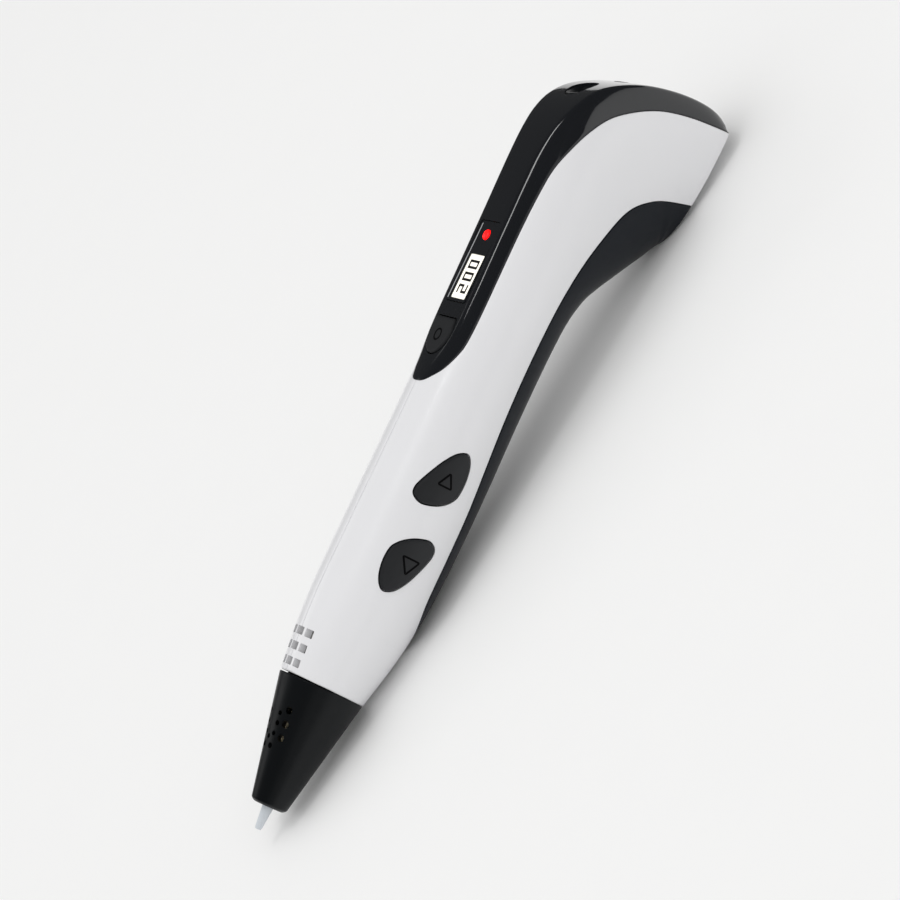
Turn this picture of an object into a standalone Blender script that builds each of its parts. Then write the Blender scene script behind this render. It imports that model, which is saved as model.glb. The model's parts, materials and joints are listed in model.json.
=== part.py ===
"""A hand-held 3-D drawing pen, modelled as the assembly that comes apart on a bench.

All sizes are in millimetres and the helpers scale them to Blender's metres. The pen is drawn in
its own frame: +X runs from the nozzle's tip to the head, +Z points out of the display panel, and
the feed and retract buttons are on the -Y side. The finished pen is then laid down as it rests on
a table, on its belly and on the front edge of its head.
"""
import math

import bmesh
import bpy
import numpy as np
from mathutils import Matrix, Vector

MM = 0.001

# Overall sizes
PEN_LENGTH = 184.0
BODY_WIDTH = 25.9
WALL = 1.6
GAP = 0.3
TIP_STEP = 0.15

# Nose
TIP_Z = 0.2
NOSE_RISE = math.radians(1.6)
CONE_START = 5.3
NOSE_END = 33.3
CONE_FRONT_R = 4.0
CONE_BACK_R = 9.75
CONE_WALL = 1.4
SPIGOT_LENGTH = 2.6
NOZZLE_TIP_R = 0.65
NOZZLE_R = 1.25
NOZZLE_SHOULDER_R = 2.4
BORE_R = 1.0
HEATER_R = 2.6
HEATER_LENGTH = 17.0
SLEEVE_WALL = 0.8
BREAK_R = 1.7
COLLAR_R = 5.5

# Filament path
TUBE_R = 2.0
FEED_Y = -1.8
FEED_Z = -0.5
FILAMENT_R = 0.875
INLET_R = 3.75

# Drive
SHAFT_R = 1.0
RUN = 0.05
WHEEL_TEETH = 18
MODULE = 0.6
WORM_PITCH_R = 2.5
WHEEL_WIDTH = 2.4
WHEEL_Y = 1.5
HOB_R = 3.5
IDLER_R = 3.0
FRAME_HALF = 4.5
FRAME_WALL = 1.3
MOTOR_W = 12.0
MOTOR_H = 10.0
GEARBOX_LENGTH = 9.0
CAN_LENGTH = 14.5

# Controls
BUTTON_PROUD = 0.4
BUTTON_TRAVEL = 0.5
MODE_PROUD = 0.45
MODE_TRAVEL = 0.3
FLANGE = 0.9
STEM_R = 1.2
WINDOW_LENGTH = 19.0
WINDOW_WIDTH = 8.8
LED_R = 1.2
JACK_R = 3.8
SCREW_R = 1.0
SCREW_HEAD_R = 1.9

HEAD = PEN_LENGTH - 82.5
BODY_SCALE = BODY_WIDTH / 25.9
DRIVE_X = HEAD + 46.5
FEED_BUTTON = (NOSE_END + 30.9, 2.1)
RETRACT_BUTTON = (NOSE_END + 51.0, 2.45)
MODE_BUTTON_X = HEAD + 10.9
PANEL_HEIGHT = 12.36
WINDOW_X = HEAD + 28.4
LED_X = HEAD + 34.8
LED_Y = -0.4
INLET_X = HEAD + 73.1
JACK_Z = -3.5

# Openings and fastenings
VENT_ROWS = (1.3, 4.7, 8.1)
VENT_COLUMNS = ((-1.25, 1.25), (1.85, 3.85), (-3.85, -1.85))
VENT_LENGTH = 1.8
BUTTON_POINTS = [(-6.85, 1.95), (-5.85, 0.0), (-3.5, -1.7), (-0.7, -3.05), (2.55, -4.3),
                 (4.4, -4.7), (5.65, -4.4), (6.5, -3.25), (6.6, -1.85), (5.85, 0.5),
                 (4.7, 2.35), (3.3, 3.65), (1.75, 4.35), (-1.0, 4.5), (-3.8, 4.1), (-5.95, 3.2)]
MODE_HALF = 4.7
MODE_NOSE = 6.0
MODE_BACK = 4.2
MODE_FRONT = 1.6
SCREWS = [(NOSE_END + 17.5, -4.4), (HEAD - 4.0, 5.6), (HEAD + 63.1, -4.9), (HEAD + 63.5, -21.3)]
SCREW_SUNK = 1.6
SCREW_BITE = 5.0
# Perforations of the cone: distance from the tip, angle from the top, radius.
CONE_SIDE_HOLES = [(17.5, 12, 0.65), (20.2, 13, 0.55), (22.5, 15, 0.6), (24.7, 15, 0.55),
                   (19.8, 32, 0.8), (22.9, 32, 0.85), (25.9, 31, 0.8)]
CONE_HOLES = [(19.3, 0, 0.55)] + [(x, sign * angle, radius)
                                  for x, angle, radius in CONE_SIDE_HOLES for sign in (-1, 1)]

# Places of the inner parts
COLLAR_END = NOSE_END + 13.7
PIVOT_R = 0.75
AXLE_R = 1.2
BUSH_R = 1.7
IDLER_Z = FEED_Z + FILAMENT_R + IDLER_R
DRIVE_Z = FEED_Z - FILAMENT_R - HOB_R + 0.1
WORM_Z = DRIVE_Z - WHEEL_TEETH * MODULE / 2 - WORM_PITCH_R
WORM_LENGTH = 9.0
GEARBOX_X = DRIVE_X + 8.3
PIVOT_X = DRIVE_X - 6.8
PIVOT_Z = IDLER_Z + 0.6
FRAME_TOP = PIVOT_Z + 1.9
SPRING_X = DRIVE_X + 4.0
SPRING_Y = 1.3
SPRING_R = 1.1
SPRING_WIRE = 0.15
BRIDGE_TOP = FRAME_TOP + 3.0
ARM_Y = 0.5
BOARD_TOP = 7.6
BOARD_HALF = 7.0
DISPLAY_X = (WINDOW_X - 9.3, WINDOW_X + 4.2)
JACK_X = PEN_LENGTH - 4.7
JACK_BORE_R = 2.8
JACK_PIN_R = 0.95
RIB_MID_R = 12.94
RIB_MID_Z = -0.25
FAN_X = NOSE_END + 19.5
FAN_Z = 4.6
FAN_HALF = 5.3
FAN_DEPTH = 3.6
INLET_AXIS = Vector((0.755, 0.0, 0.656)).normalized()
INLET_MOUTH = Vector((INLET_X, 0.0, 7.1))
INLET_DEPTH = 4.0
INLET_BACK = INLET_MOUTH - INLET_AXIS * (INLET_DEPTH + 0.3)

# ---------------------------------------------------------------------------------------------
# Scene and low-level helpers


def clear_scene():
    for item in list(bpy.data.objects):
        bpy.data.objects.remove(item, do_unlink=True)


def new_collection(name):
    collection = bpy.data.collections.new(name)
    bpy.context.scene.collection.children.link(collection)
    return collection


def finish_material(name, colour, roughness, metallic=0.0):
    material = bpy.data.materials.new(name)
    material.use_nodes = True
    shader = material.node_tree.nodes["Principled BSDF"]
    shader.inputs["Base Color"].default_value = (*colour, 1.0)
    shader.inputs["Roughness"].default_value = roughness
    shader.inputs["Metallic"].default_value = metallic
    material.diffuse_color = (*colour, 1.0)
    return material


def link(item, collection, parent=None, material=None):
    for old in list(item.users_collection):
        old.objects.unlink(item)
    collection.objects.link(item)
    item.parent = parent
    if material is not None:
        item.data.materials.clear()
        item.data.materials.append(material)
    return item


def empty(name, place, parent=None, turn=(0.0, 0.0, 0.0)):
    item = bpy.data.objects.new(name, None)
    PARTS.objects.link(item)
    item.parent = parent
    item.location = Vector(place) * MM
    item.rotation_euler = turn
    return item


def mesh_object(name, bm):
    mesh = bpy.data.meshes.new(name)
    bm.to_mesh(mesh)
    bm.free()
    return bpy.data.objects.new(name, mesh)


def smooth(item, angle=35.0):
    item.data.shade_smooth()
    item.data.set_sharp_from_angle(angle=math.radians(angle))
    return item


def box(name, low, high):
    """A box between two corners."""
    low, high = Vector(low), Vector(high)
    bm = bmesh.new()
    bmesh.ops.create_cube(bm, size=1.0)
    bmesh.ops.scale(bm, vec=(high - low) * MM, verts=bm.verts)
    bmesh.ops.translate(bm, vec=(high + low) * MM / 2, verts=bm.verts)
    return mesh_object(name, bm)


def rod(name, start, end, radius, sides=24, end_radius=None):
    """A cylinder, or a cone, from one point to another."""
    start, end = Vector(start) * MM, Vector(end) * MM
    along = end - start
    bm = bmesh.new()
    bmesh.ops.create_cone(bm, cap_ends=True, segments=sides, radius1=radius * MM,
                          radius2=(radius if end_radius is None else end_radius) * MM,
                          depth=along.length)
    turn = Vector((0, 0, 1)).rotation_difference(along).to_matrix().to_4x4()
    bmesh.ops.transform(bm, matrix=Matrix.Translation((start + end) / 2) @ turn, verts=bm.verts)
    return mesh_object(name, bm)


def turned(name, profile, steps=32, axis="X"):
    """A closed profile of (distance along the axis, radius) points, turned about the axis.

    The points run along the outer side from the far end back to the origin, then along the bore.
    """
    bm = bmesh.new()
    points = [bm.verts.new((radius * MM, 0.0, along * MM)) for along, radius in profile]
    for index, point in enumerate(points):
        following = points[(index + 1) % len(points)]
        if min(point.co.x, following.co.x) > 1e-9 or abs(point.co.x - following.co.x) > 1e-9:
            bm.edges.new((point, following))
    item = mesh_object(name, bm)
    screw = item.modifiers.new("Turn", "SCREW")
    screw.steps = steps
    screw.render_steps = steps
    screw.use_merge_vertices = True
    screw.merge_threshold = 1e-6
    turns = {"X": (0.0, math.pi / 2, 0.0), "Y": (-math.pi / 2, 0.0, 0.0), "Z": (0.0, 0.0, 0.0)}
    item.rotation_euler = turns[axis]
    return item


def outline_solid(name, points, low, high, plane="XZ"):
    """A flat outline given thickness: in plane XZ it runs from y=low to y=high."""
    curve = bpy.data.curves.new(name, "CURVE")
    curve.dimensions = "2D"
    curve.fill_mode = "BOTH"
    curve.extrude = (high - low) / 2 * MM
    spline = curve.splines.new("POLY")
    spline.points.add(len(points) - 1)
    for target, (first, second) in zip(spline.points, points):
        target.co = (first * MM, second * MM, 0.0, 1.0)
    spline.use_cyclic_u = True
    middle = (low + high) / 2 * MM
    if plane == "XZ":
        place = Matrix.Translation((0, middle, 0)) @ Matrix.Rotation(math.pi / 2, 4, "X")
    elif plane == "YZ":
        place = Matrix(((0, 0, 1, middle), (1, 0, 0, 0), (0, 1, 0, 0), (0, 0, 0, 1)))
    else:
        place = Matrix.Translation((0, 0, middle))
    return curve_to_mesh(name, curve, place)


def curve_to_mesh(name, curve, place=None):
    """Make a curve a closed mesh, with its caps welded on."""
    holder = bpy.data.objects.new(name + "_curve", curve)
    bpy.context.scene.collection.objects.link(holder)
    if place is not None:
        holder.matrix_world = place
    bpy.context.view_layer.update()
    evaluated = holder.evaluated_get(bpy.context.evaluated_depsgraph_get())
    mesh = bpy.data.meshes.new_from_object(evaluated)
    mesh.transform(holder.matrix_world)
    bpy.data.objects.remove(holder, do_unlink=True)
    bm = bmesh.new()
    bm.from_mesh(mesh)
    bmesh.ops.remove_doubles(bm, verts=bm.verts, dist=2e-6)
    bmesh.ops.recalc_face_normals(bm, faces=bm.faces)
    if bm.calc_volume(signed=True) < 0:
        bmesh.ops.reverse_faces(bm, faces=bm.faces)
    bpy.data.meshes.remove(mesh)
    return mesh_object(name, bm)


def wire(name, points, radius, resolution=2):
    """A round wire or rod along a list of points."""
    curve = bpy.data.curves.new(name, "CURVE")
    curve.dimensions = "3D"
    curve.bevel_depth = radius * MM
    curve.bevel_resolution = resolution
    curve.use_fill_caps = True
    spline = curve.splines.new("POLY")
    spline.points.add(len(points) - 1)
    for target, point in zip(spline.points, points):
        target.co = (*(Vector(point) * MM), 1.0)
    return curve_to_mesh(name, curve)


def cut(item, cutter, operation="DIFFERENCE"):
    """Cut, join or trim with another shape, which is kept as a hidden wire cutter."""
    if cutter.name not in CUTTERS.objects:
        link(cutter, CUTTERS, item.parent)
    cutter.hide_render = True
    cutter.display_type = "WIRE"
    modifier = item.modifiers.new(operation.title() + "_" + cutter.name, "BOOLEAN")
    modifier.operation = operation
    modifier.object = cutter
    modifier.solver = "EXACT"
    return item


def bevel(item, width, segments=1, angle=40.0):
    modifier = item.modifiers.new("Edges", "BEVEL")
    modifier.width = width * MM
    modifier.segments = segments
    modifier.limit_method = "ANGLE"
    modifier.angle_limit = math.radians(angle)
    return item


def part(item, material, parent):
    """Put a finished sub-part in the pen's collection."""
    return link(item, PARTS, parent, material)


def smooth_path(points, count):
    """Evenly numbered points on a Catmull-Rom curve through the given points."""
    points = [np.array(point, float) for point in points]
    padded = [2 * points[0] - points[1]] + points + [2 * points[-1] - points[-2]]
    result = []
    for step in range(count):
        where = step / (count - 1) * (len(points) - 1)
        index = min(int(where), len(points) - 2)
        t = where - index
        p0, p1, p2, p3 = padded[index:index + 4]
        result.append(0.5 * (2 * p1 + (p2 - p0) * t + (2 * p0 - 5 * p1 + 4 * p2 - p3) * t ** 2
                             + (3 * p1 - p0 - 3 * p2 + p3) * t ** 3))
    return result


def closed_path(points, count):
    """A closed smooth curve through the given points."""
    total = len(points)
    result = []
    for step in range(count):
        where = step / count * total
        index = int(where)
        t = where - index
        p0, p1, p2, p3 = (np.array(points[(index + k - 1) % total], float) for k in range(4))
        result.append(0.5 * (2 * p1 + (p2 - p0) * t + (2 * p0 - 5 * p1 + 4 * p2 - p3) * t ** 2
                             + (3 * p1 - p0 - 3 * p2 + p3) * t ** 3))
    return result


def grown(outline, margin):
    """The outline moved outwards by a margin, square to its own edge."""
    total = len(outline)
    area = sum(outline[k - 1][0] * outline[k][1] - outline[k][0] * outline[k - 1][1]
               for k in range(total))
    sign = 1.0 if area > 0 else -1.0
    result = []
    for k in range(total):
        ahead, behind = outline[(k + 1) % total], outline[k - 1]
        run = np.array([ahead[0] - behind[0], ahead[1] - behind[1]])
        normal = np.array([run[1], -run[0]]) / np.hypot(*run)
        result.append(np.array(outline[k]) + sign * margin * normal)
    return result


# ---------------------------------------------------------------------------------------------
# The body's skin: ribs from the top outline to the bottom outline, and parting lines

# Each rib: top x and z, bottom x and z, half width, depth of the widest point, rise of the side's
# own oval above the flat top, fullness of the underside, half width of the flat top.
NOSE_RIBS = [
    (0.0, 10.85, 0.0, -8.65, 9.75, 9.75, 0, 2.0, 0),
    (4.7, 11.40, 4.7, -9.70, 10.55, 10.55, 0, 2.0, 0),
    (10.7, 12.00, 10.7, -11.00, 11.5, 11.5, 0, 2.0, 0),
    (16.7, 12.40, 16.7, -11.95, 12.15, 12.15, 0, 2.0, 0),
    (22.7, 12.58, 22.7, -12.60, 12.6, 12.6, 0, 2.0, 0),
    (28.7, 12.62, 28.7, -13.00, 12.82, 12.82, 0, 2.0, 0),
]
HEAD_RIBS = [
    (-26.5, 12.68, -26.5, -13.22, 12.95, 12.95, 0, 2.0, 0),
    (-13.5, 12.70, -13.5, -13.10, 12.9, 12.9, 0, 2.0, 0),
    (-5.5, 12.76, -5.5, -12.85, 12.8, 12.8, 0, 2.0, 0),
    (0.0, 12.80, 0.0, -12.70, 12.75, 12.75, 0, 2.0, 0),
    (1.5, 12.74, 1.5, -12.66, 12.75, 12.7, 0.05, 2.0, 1.2),
    (4.0, 12.56, 4.0, -12.60, 12.75, 12.6, 0.22, 2.0, 3.0),
    (8.0, 12.38, 8.0, -12.55, 12.78, 12.4, 0.4, 2.0, 4.8),
    (13.0, 12.36, 13.0, -12.50, 12.82, 12.35, 0.48, 2.0, 5.8),
    (20.0, 12.50, 20.0, -12.60, 12.87, 12.4, 0.45, 2.0, 6.0),
    (27.0, 12.65, 26.0, -12.95, 12.87, 12.6, 0.4, 2.02, 6.0),
    (34.0, 12.83, 31.5, -14.20, 12.8, 12.8, 0.35, 2.06, 6.0),
    (41.0, 13.00, 35.5, -16.20, 12.7, 13.0, 0.4, 2.1, 6.0),
    (48.0, 13.20, 39.0, -18.30, 12.6, 13.2, 0.5, 2.15, 6.0),
    (54.5, 13.25, 42.0, -20.10, 12.5, 13.5, 0.7, 2.2, 6.2),
    (60.5, 12.80, 44.4, -21.60, 12.35, 14.0, 1.1, 2.2, 7.0),
    (65.5, 11.70, 46.4, -22.80, 12.15, 14.5, 1.5, 2.25, 8.1),
    (70.0, 9.80, 47.8, -23.60, 11.95, 15.0, 1.7, 2.25, 8.8),
    (73.5, 7.10, 48.7, -24.10, 11.75, 15.0, 2.0, 2.25, 9.0),
    (76.6, 2.90, 49.4, -24.50, 11.5, 14.5, 3.2, 2.25, 8.9),
    (79.2, -2.30, 50.0, -24.80, 11.2, 13.5, 5.0, 2.25, 8.7),
    (81.0, -8.00, 50.4, -25.05, 10.9, 12.0, 6.0, 2.3, 8.4),
    (82.1, -13.50, 50.7, -25.20, 10.6, 10.0, 6.5, 2.3, 8.1),
    (82.5, -18.60, 50.9, -25.32, 10.35, 8.0, 7.0, 2.3, 7.8),
    (82.1, -22.30, 51.0, -25.42, 10.15, 6.0, 7.0, 2.3, 7.5),
    (81.0, -24.70, 51.0, -25.48, 10.0, 4.0, 7.0, 2.3, 7.2),
    (79.4, -25.50, 51.0, -25.50, 9.8, 2.5, 7.0, 2.3, 7.0),
]
# Side view of the line between the black panel's band and the white side, from the panel's tip.
BAND_LINE = [(-0.4, 13.0), (0.3, 12.6), (2.0, 12.0), (4.5, 11.1), (8.5, 10.15), (11.5, 9.8),
             (18.5, 9.75), (38.5, 10.0), (48.5, 9.9), (53.5, 9.5), (58.5, 8.2), (63.5, 6.2),
             (68.5, 3.0), (72.4, -1.6), (75.3, -6.6), (77.0, -11.5), (78.1, -16.5),
             (78.8, -21.5), (79.3, -25.9)]
# Side view of the line between the white side and the black underside, from its front tip.
STRIP_FRONT = [(13.2, -12.2), (14.2, -11.5), (17.2, -10.9), (21.7, -9.0), (26.7, -7.8),
               (36.7, -7.4)]
STRIP_BACK = [(-21.5, -7.0), (-11.5, -6.0), (-1.5, -5.1), (8.5, -4.5), (18.5, -4.35),
              (28.5, -4.7), (38.5, -6.0), (48.5, -8.6), (53.5, -10.9), (56.8, -14.4),
              (59.0, -18.5), (61.5, -26.5)]


def all_ribs():
    ribs = []
    for start, group in ((NOSE_END, NOSE_RIBS), (HEAD, HEAD_RIBS)):
        for top_x, top_z, low_x, low_z, half, *rest in group:
            scaled = (half * BODY_SCALE, *rest[:3], rest[3] * BODY_SCALE)
            ribs.append((top_x + start, top_z, low_x + start, low_z, *scaled))
    return np.array(ribs)


RIBS = all_ribs()
RIB_AT = np.concatenate(([0.0], np.cumsum(np.hypot(np.diff(RIBS[:, 0]), np.diff(RIBS[:, 1])))))
BAND = [(x + HEAD, z) for x, z in BAND_LINE]
STRIP = [(x + NOSE_END, z) for x, z in STRIP_FRONT] + [(x + HEAD, z) for x, z in STRIP_BACK]
BAND_CURVE = smooth_path(BAND, 300)
STRIP_CURVE = smooth_path(STRIP, 300)


def rib(where):
    """The rib at a distance along the top outline, blended smoothly between the drawn ones."""
    index = int(np.clip(np.searchsorted(RIB_AT, where) - 1, 0, len(RIB_AT) - 2))
    span = RIB_AT[index + 1] - RIB_AT[index]
    t = (where - RIB_AT[index]) / span

    def slope(k):
        low, high = max(k - 1, 0), min(k + 1, len(RIB_AT) - 1)
        return (RIBS[high] - RIBS[low]) / (RIB_AT[high] - RIB_AT[low])

    start, end = RIBS[index], RIBS[index + 1]
    value = ((2 * t ** 3 - 3 * t ** 2 + 1) * start + (t ** 3 - 2 * t ** 2 + t) * span * slope(index)
             + (3 * t ** 2 - 2 * t ** 3) * end + (t ** 3 - t ** 2) * span * slope(index + 1))
    value[8] = max(value[8], 0.0)
    value[6] = max(value[6], 0.0)
    return value


def depth_of(line, section):
    """How far down a rib a parting line crosses it, or None where it does not."""
    top = np.array(section[0:2])
    run = np.array(section[2:4]) - top
    length = np.hypot(*run)
    across = np.array([-run[1], run[0]]) / length
    before = None
    for point in line:
        offset = point - top
        side = offset @ across
        depth = offset @ run / length
        if before is not None and (side > 0) != (before[0] > 0):
            share = before[0] / (before[0] - side)
            found = before[1] + share * (depth - before[1])
            if 0.0 < found < length:
                return found
        before = (side, depth)
    return None


class Section:
    """One rib's cross-section: depth below the top outline against half width."""

    def __init__(self, where):
        self.data = rib(where)
        (self.top_x, self.top_z, self.low_x, self.low_z, self.half, self.widest, self.rise,
         self.fullness, self.flat) = self.data
        self.height = math.hypot(self.top_x - self.low_x, self.top_z - self.low_z)
        self.band = depth_of(BAND_CURVE, self.data)
        self.strip = depth_of(STRIP_CURVE, self.data)
        if where >= RIB_AT[-1] - 1e-6:
            self.band = min(self.band or 0.4, 0.4)
        upper = self.widest + self.rise
        self.top_angle = 0.0
        if self.band is not None:
            self.top_angle = math.acos(np.clip((self.widest - self.band) / upper, -1.0, 1.0))
        self.low_angle = math.pi / 2
        if self.strip is not None:
            share = np.clip((self.strip - self.widest) / (self.height - self.widest), 0.0, 1.0)
            self.low_angle = math.asin(share ** (self.fullness / 2))

    def side(self, angle):
        """The oval side: angle 0 at its top, 90 degrees at the widest, 180 at the bottom."""
        if angle <= math.pi / 2:
            upper = self.widest + self.rise
            return self.half * math.sin(angle), self.widest - upper * math.cos(angle)
        turn = angle - math.pi / 2
        power = 2 / self.fullness
        reach = self.height - self.widest
        return (self.half * max(math.cos(turn), 0.0) ** power,
                self.widest + reach * max(math.sin(turn), 0.0) ** power)

    def side_step(self, angle, distance):
        """The angle that lies a short distance further along the oval."""
        for _ in range(8):
            here, there = self.side(angle), self.side(angle + math.copysign(0.01, distance))
            speed = math.dist(here, there) / 0.01
            angle += distance / 8 / speed
        return angle

    def inner(self, angle):
        """The inside of the oval's wall at an angle."""
        if angle <= math.pi / 2:
            upper = self.widest + self.rise - WALL
            return (self.half - WALL) * math.sin(angle), self.widest - upper * math.cos(angle)
        turn = angle - math.pi / 2
        power = 2 / self.fullness
        reach = self.height - self.widest - WALL
        return ((self.half - WALL) * max(math.cos(turn), 0.0) ** power,
                self.widest + reach * max(math.sin(turn), 0.0) ** power)

    def panel(self, margin, flat_count, band_count):
        """Outer and inner points over half of the panel, from its middle to the band's edge."""
        edge, root = np.array(self.side(self.top_angle)), np.array(self.inner(self.top_angle))
        crown = 0.012 * self.flat
        flat = np.array([min(self.flat, edge[0] * 0.85), crown])
        flat_root = np.array([min(max(flat[0] - 0.3 * WALL, 0.1), root[0] * 0.8), crown + WALL])
        outer = [(flat[0] * k / flat_count, crown * (k / flat_count) ** 2)
                 for k in range(flat_count)]
        inner = [(flat_root[0] * k / flat_count, WALL + crown * (k / flat_count) ** 2)
                 for k in range(flat_count)]
        run, run_root = edge - flat, root - flat_root
        length, length_root = np.hypot(*run), np.hypot(*run_root)
        bulge = 0.05 * length * np.array([run[1], -run[0]]) / length
        for k in range(band_count + 1):
            t = k / band_count
            outer.append(tuple(flat + run * t * max(1 - margin / length, 0.3)
                               + bulge * math.sin(math.pi * t)))
            inner.append(tuple(flat_root + run_root * t * max(1 - margin / length_root, 0.3)))
        return outer, inner

    def wall(self, margin, count):
        """Outer and inner points down the white side, between its two edges."""
        seam = math.asin(margin / (self.half - WALL))
        start = seam
        if self.top_angle > 0.0:
            start = max(self.side_step(self.top_angle, margin), seam)
        low_seam = math.pi - math.asin((margin / (self.half - WALL)) ** (self.fullness / 2))
        end = low_seam
        if self.strip is not None:
            end = min(self.side_step(math.pi / 2 + self.low_angle, -margin), low_seam)
        angles = [start + (end - start) * k / count for k in range(count + 1)]
        return [self.side(angle) for angle in angles], [self.inner(angle) for angle in angles]

    def under(self, margin, count):
        """Outer and inner points over half of the underside, from its edge to the middle."""
        start = min(self.side_step(math.pi / 2 + self.low_angle, margin), math.pi - 0.03)
        angles = [start + (math.pi - start) * k / count for k in range(count)]
        outer = [self.side(angle) for angle in angles] + [(0.0, self.height)]
        inner = [self.inner(angle) for angle in angles] + [(0.0, self.height - WALL)]
        return outer, inner

    def place(self, point, sign=1.0):
        """A half-width and depth pair as a point of the pen's frame."""
        share = point[1] / self.height
        return Vector((self.top_x + (self.low_x - self.top_x) * share, sign * point[0],
                       self.top_z + (self.low_z - self.top_z) * share))


def where_x(x):
    """Distance along the top outline at which the outline reaches x."""
    low, high = 0.0, RIB_AT[-1]
    for _ in range(40):
        middle = (low + high) / 2
        if rib(middle)[0] < x and middle < RIB_AT[-9]:
            low = middle
        else:
            high = middle
    return low


def half_width_at(x, z):
    """Half width of the plain oval body at a point of its side."""
    low, high = 0.0, RIB_AT[-1]
    for _ in range(30):
        middle = (low + high) / 2
        top_x, top_z, low_x, low_z = rib(middle)[:4]
        if (low_x - top_x) * (z - top_z) + (top_z - low_z) * (x - top_x) > 0:
            low = middle
        else:
            high = middle
    section = Section(low)
    depth = math.hypot(x - section.top_x, z - section.top_z)
    if depth < section.widest:
        share = (section.widest - depth) / (section.widest + section.rise)
        return section.half * math.sqrt(1.0 - share ** 2)
    share = min((depth - section.widest) / (section.height - section.widest), 1.0)
    return section.half * (1.0 - share ** section.fullness) ** (1 / section.fullness)


def first_rib(line):
    """Where a parting line first crosses the ribs, as a distance along the top outline."""
    high = 0.0
    while depth_of(line, rib(high)) is None:
        high += 1.0
    low = high - 1.0
    for _ in range(20):
        middle = (low + high) / 2
        if depth_of(line, rib(middle)) is None:
            low = middle
        else:
            high = middle
    return high


def stations():
    """Where the skin's ribs stand: closer together at the tips of the panel and the strip."""
    near = [0.0, where_x(NOSE_END + 7.3)]
    strip = [STRIP_TIP + k for k in (-0.1, TIP_STEP, 0.9, 2.6, 6.0, 11.0)]
    barrel = list(np.linspace(STRIP_TIP + 19.0, PANEL_TIP - 4.0, 3))
    panel = [PANEL_TIP + k for k in (-0.1, TIP_STEP, 1.0, 2.6, 5.5, 11.0)]
    head = list(np.linspace(PANEL_TIP + 20.0, PANEL_TIP + 52.0, 4))
    bend = list(np.linspace(PANEL_TIP + 58.0, RIB_AT[-1] - 4.0, 10))
    return near + strip + barrel + panel + head + bend + [RIB_AT[-1] - 1.8, RIB_AT[-1]]


PANEL_TIP = first_rib(BAND_CURVE)
STRIP_TIP = first_rib(STRIP_CURVE)


def lofted_wall(name, outer, inner):
    """A closed solid between an outer and an inner grid of points."""
    bm = bmesh.new()
    skins = [[[bm.verts.new(Vector(point) * MM) for point in row] for row in rows]
             for rows in (outer, inner)]
    for grid in skins:
        for first, second in zip(grid, grid[1:]):
            for k in range(len(first) - 1):
                bm.faces.new((first[k], first[k + 1], second[k + 1], second[k]))
    for out_row, in_row in ((skins[0][0], skins[1][0]), (skins[0][-1], skins[1][-1])):
        for k in range(len(out_row) - 1):
            bm.faces.new((out_row[k], out_row[k + 1], in_row[k + 1], in_row[k]))
    for end in (0, -1):
        for k in range(len(outer) - 1):
            bm.faces.new((skins[0][k][end], skins[0][k + 1][end],
                          skins[1][k + 1][end], skins[1][k][end]))
    bmesh.ops.recalc_face_normals(bm, faces=bm.faces)
    return smooth(mesh_object(name, bm))


def mirrored_rows(halves, middle_first):
    """Whole rows from half rows: the half's middle point is its first or its last."""
    rows = []
    for section, half in halves:
        if middle_first:
            left = [section.place(point, -1.0) for point in reversed(half)]
            right = [section.place(point, 1.0) for point in half[1:]]
        else:
            left = [section.place(point, -1.0) for point in half]
            right = [section.place(point, 1.0) for point in reversed(half[:-1])]
        rows.append(left + right)
    return rows


def side_shell(name, sign):
    outer, inner = [], []
    for where in stations():
        section = Section(where)
        for rows, points in zip((outer, inner), section.wall(GAP / 2, 8)):
            rows.append([section.place(point, sign) for point in points])
    return lofted_wall(name, outer, inner)


def panel_skin():
    outer, inner = [], []
    for where in stations():
        if where > PANEL_TIP:
            section = Section(where)
            for halves, half in zip((outer, inner), section.panel(GAP / 2, 2, 3)):
                halves.append((section, half))
    return lofted_wall("top_panel", mirrored_rows(outer, True), mirrored_rows(inner, True))


def strip_skin():
    outer, inner = [], []
    for where in stations():
        section = Section(where)
        if where > STRIP_TIP and section.strip is not None:
            for halves, half in zip((outer, inner), section.under(GAP / 2, 3)):
                halves.append((section, half))
    return lofted_wall("underside_cover", mirrored_rows(outer, False), mirrored_rows(inner, False))


def head_base():
    """The flat plate that closes the head's open base, just inside its walls."""
    section = Section(RIB_AT[-1])
    ring = [section.inner(section.top_angle + (math.pi - section.top_angle) * k / 16)
            for k in range(17)]
    half = [(section.flat * 0.8, WALL)] + [(wide, max(deep, WALL)) for wide, deep in ring]
    points = [section.place(point) for point in half]
    outline = [(p.x, p.y) for p in points] + [(p.x, -p.y) for p in reversed(points[:-1])]
    low = section.low_z
    return outline_solid("head_base", grown(outline, -GAP), low, low + WALL, plane="XY")


# ---------------------------------------------------------------------------------------------
# Shells, panel and their openings


def vent_windows(parent):
    """Three rows of windows over the top of the barrel, just behind the nose cone."""
    cutters = []
    for row, x in enumerate(VENT_ROWS):
        spread = 1.0 + 0.1 * row
        for inner, outer in VENT_COLUMNS:
            low = (NOSE_END + x, inner * spread, 5.0)
            high = (NOSE_END + x + VENT_LENGTH, outer * spread, 20.0)
            cutters.append(link(box(f"vent_cut_{len(cutters)}", low, high), CUTTERS, parent))
    return cutters


def button_outline(middle, turn):
    """The side buttons' leaf outline; the retract button is the same shape turned round."""
    points = closed_path(BUTTON_POINTS, 24)
    return [(middle[0] + turn * x, middle[1] + turn * z) for x, z in points]


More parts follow.
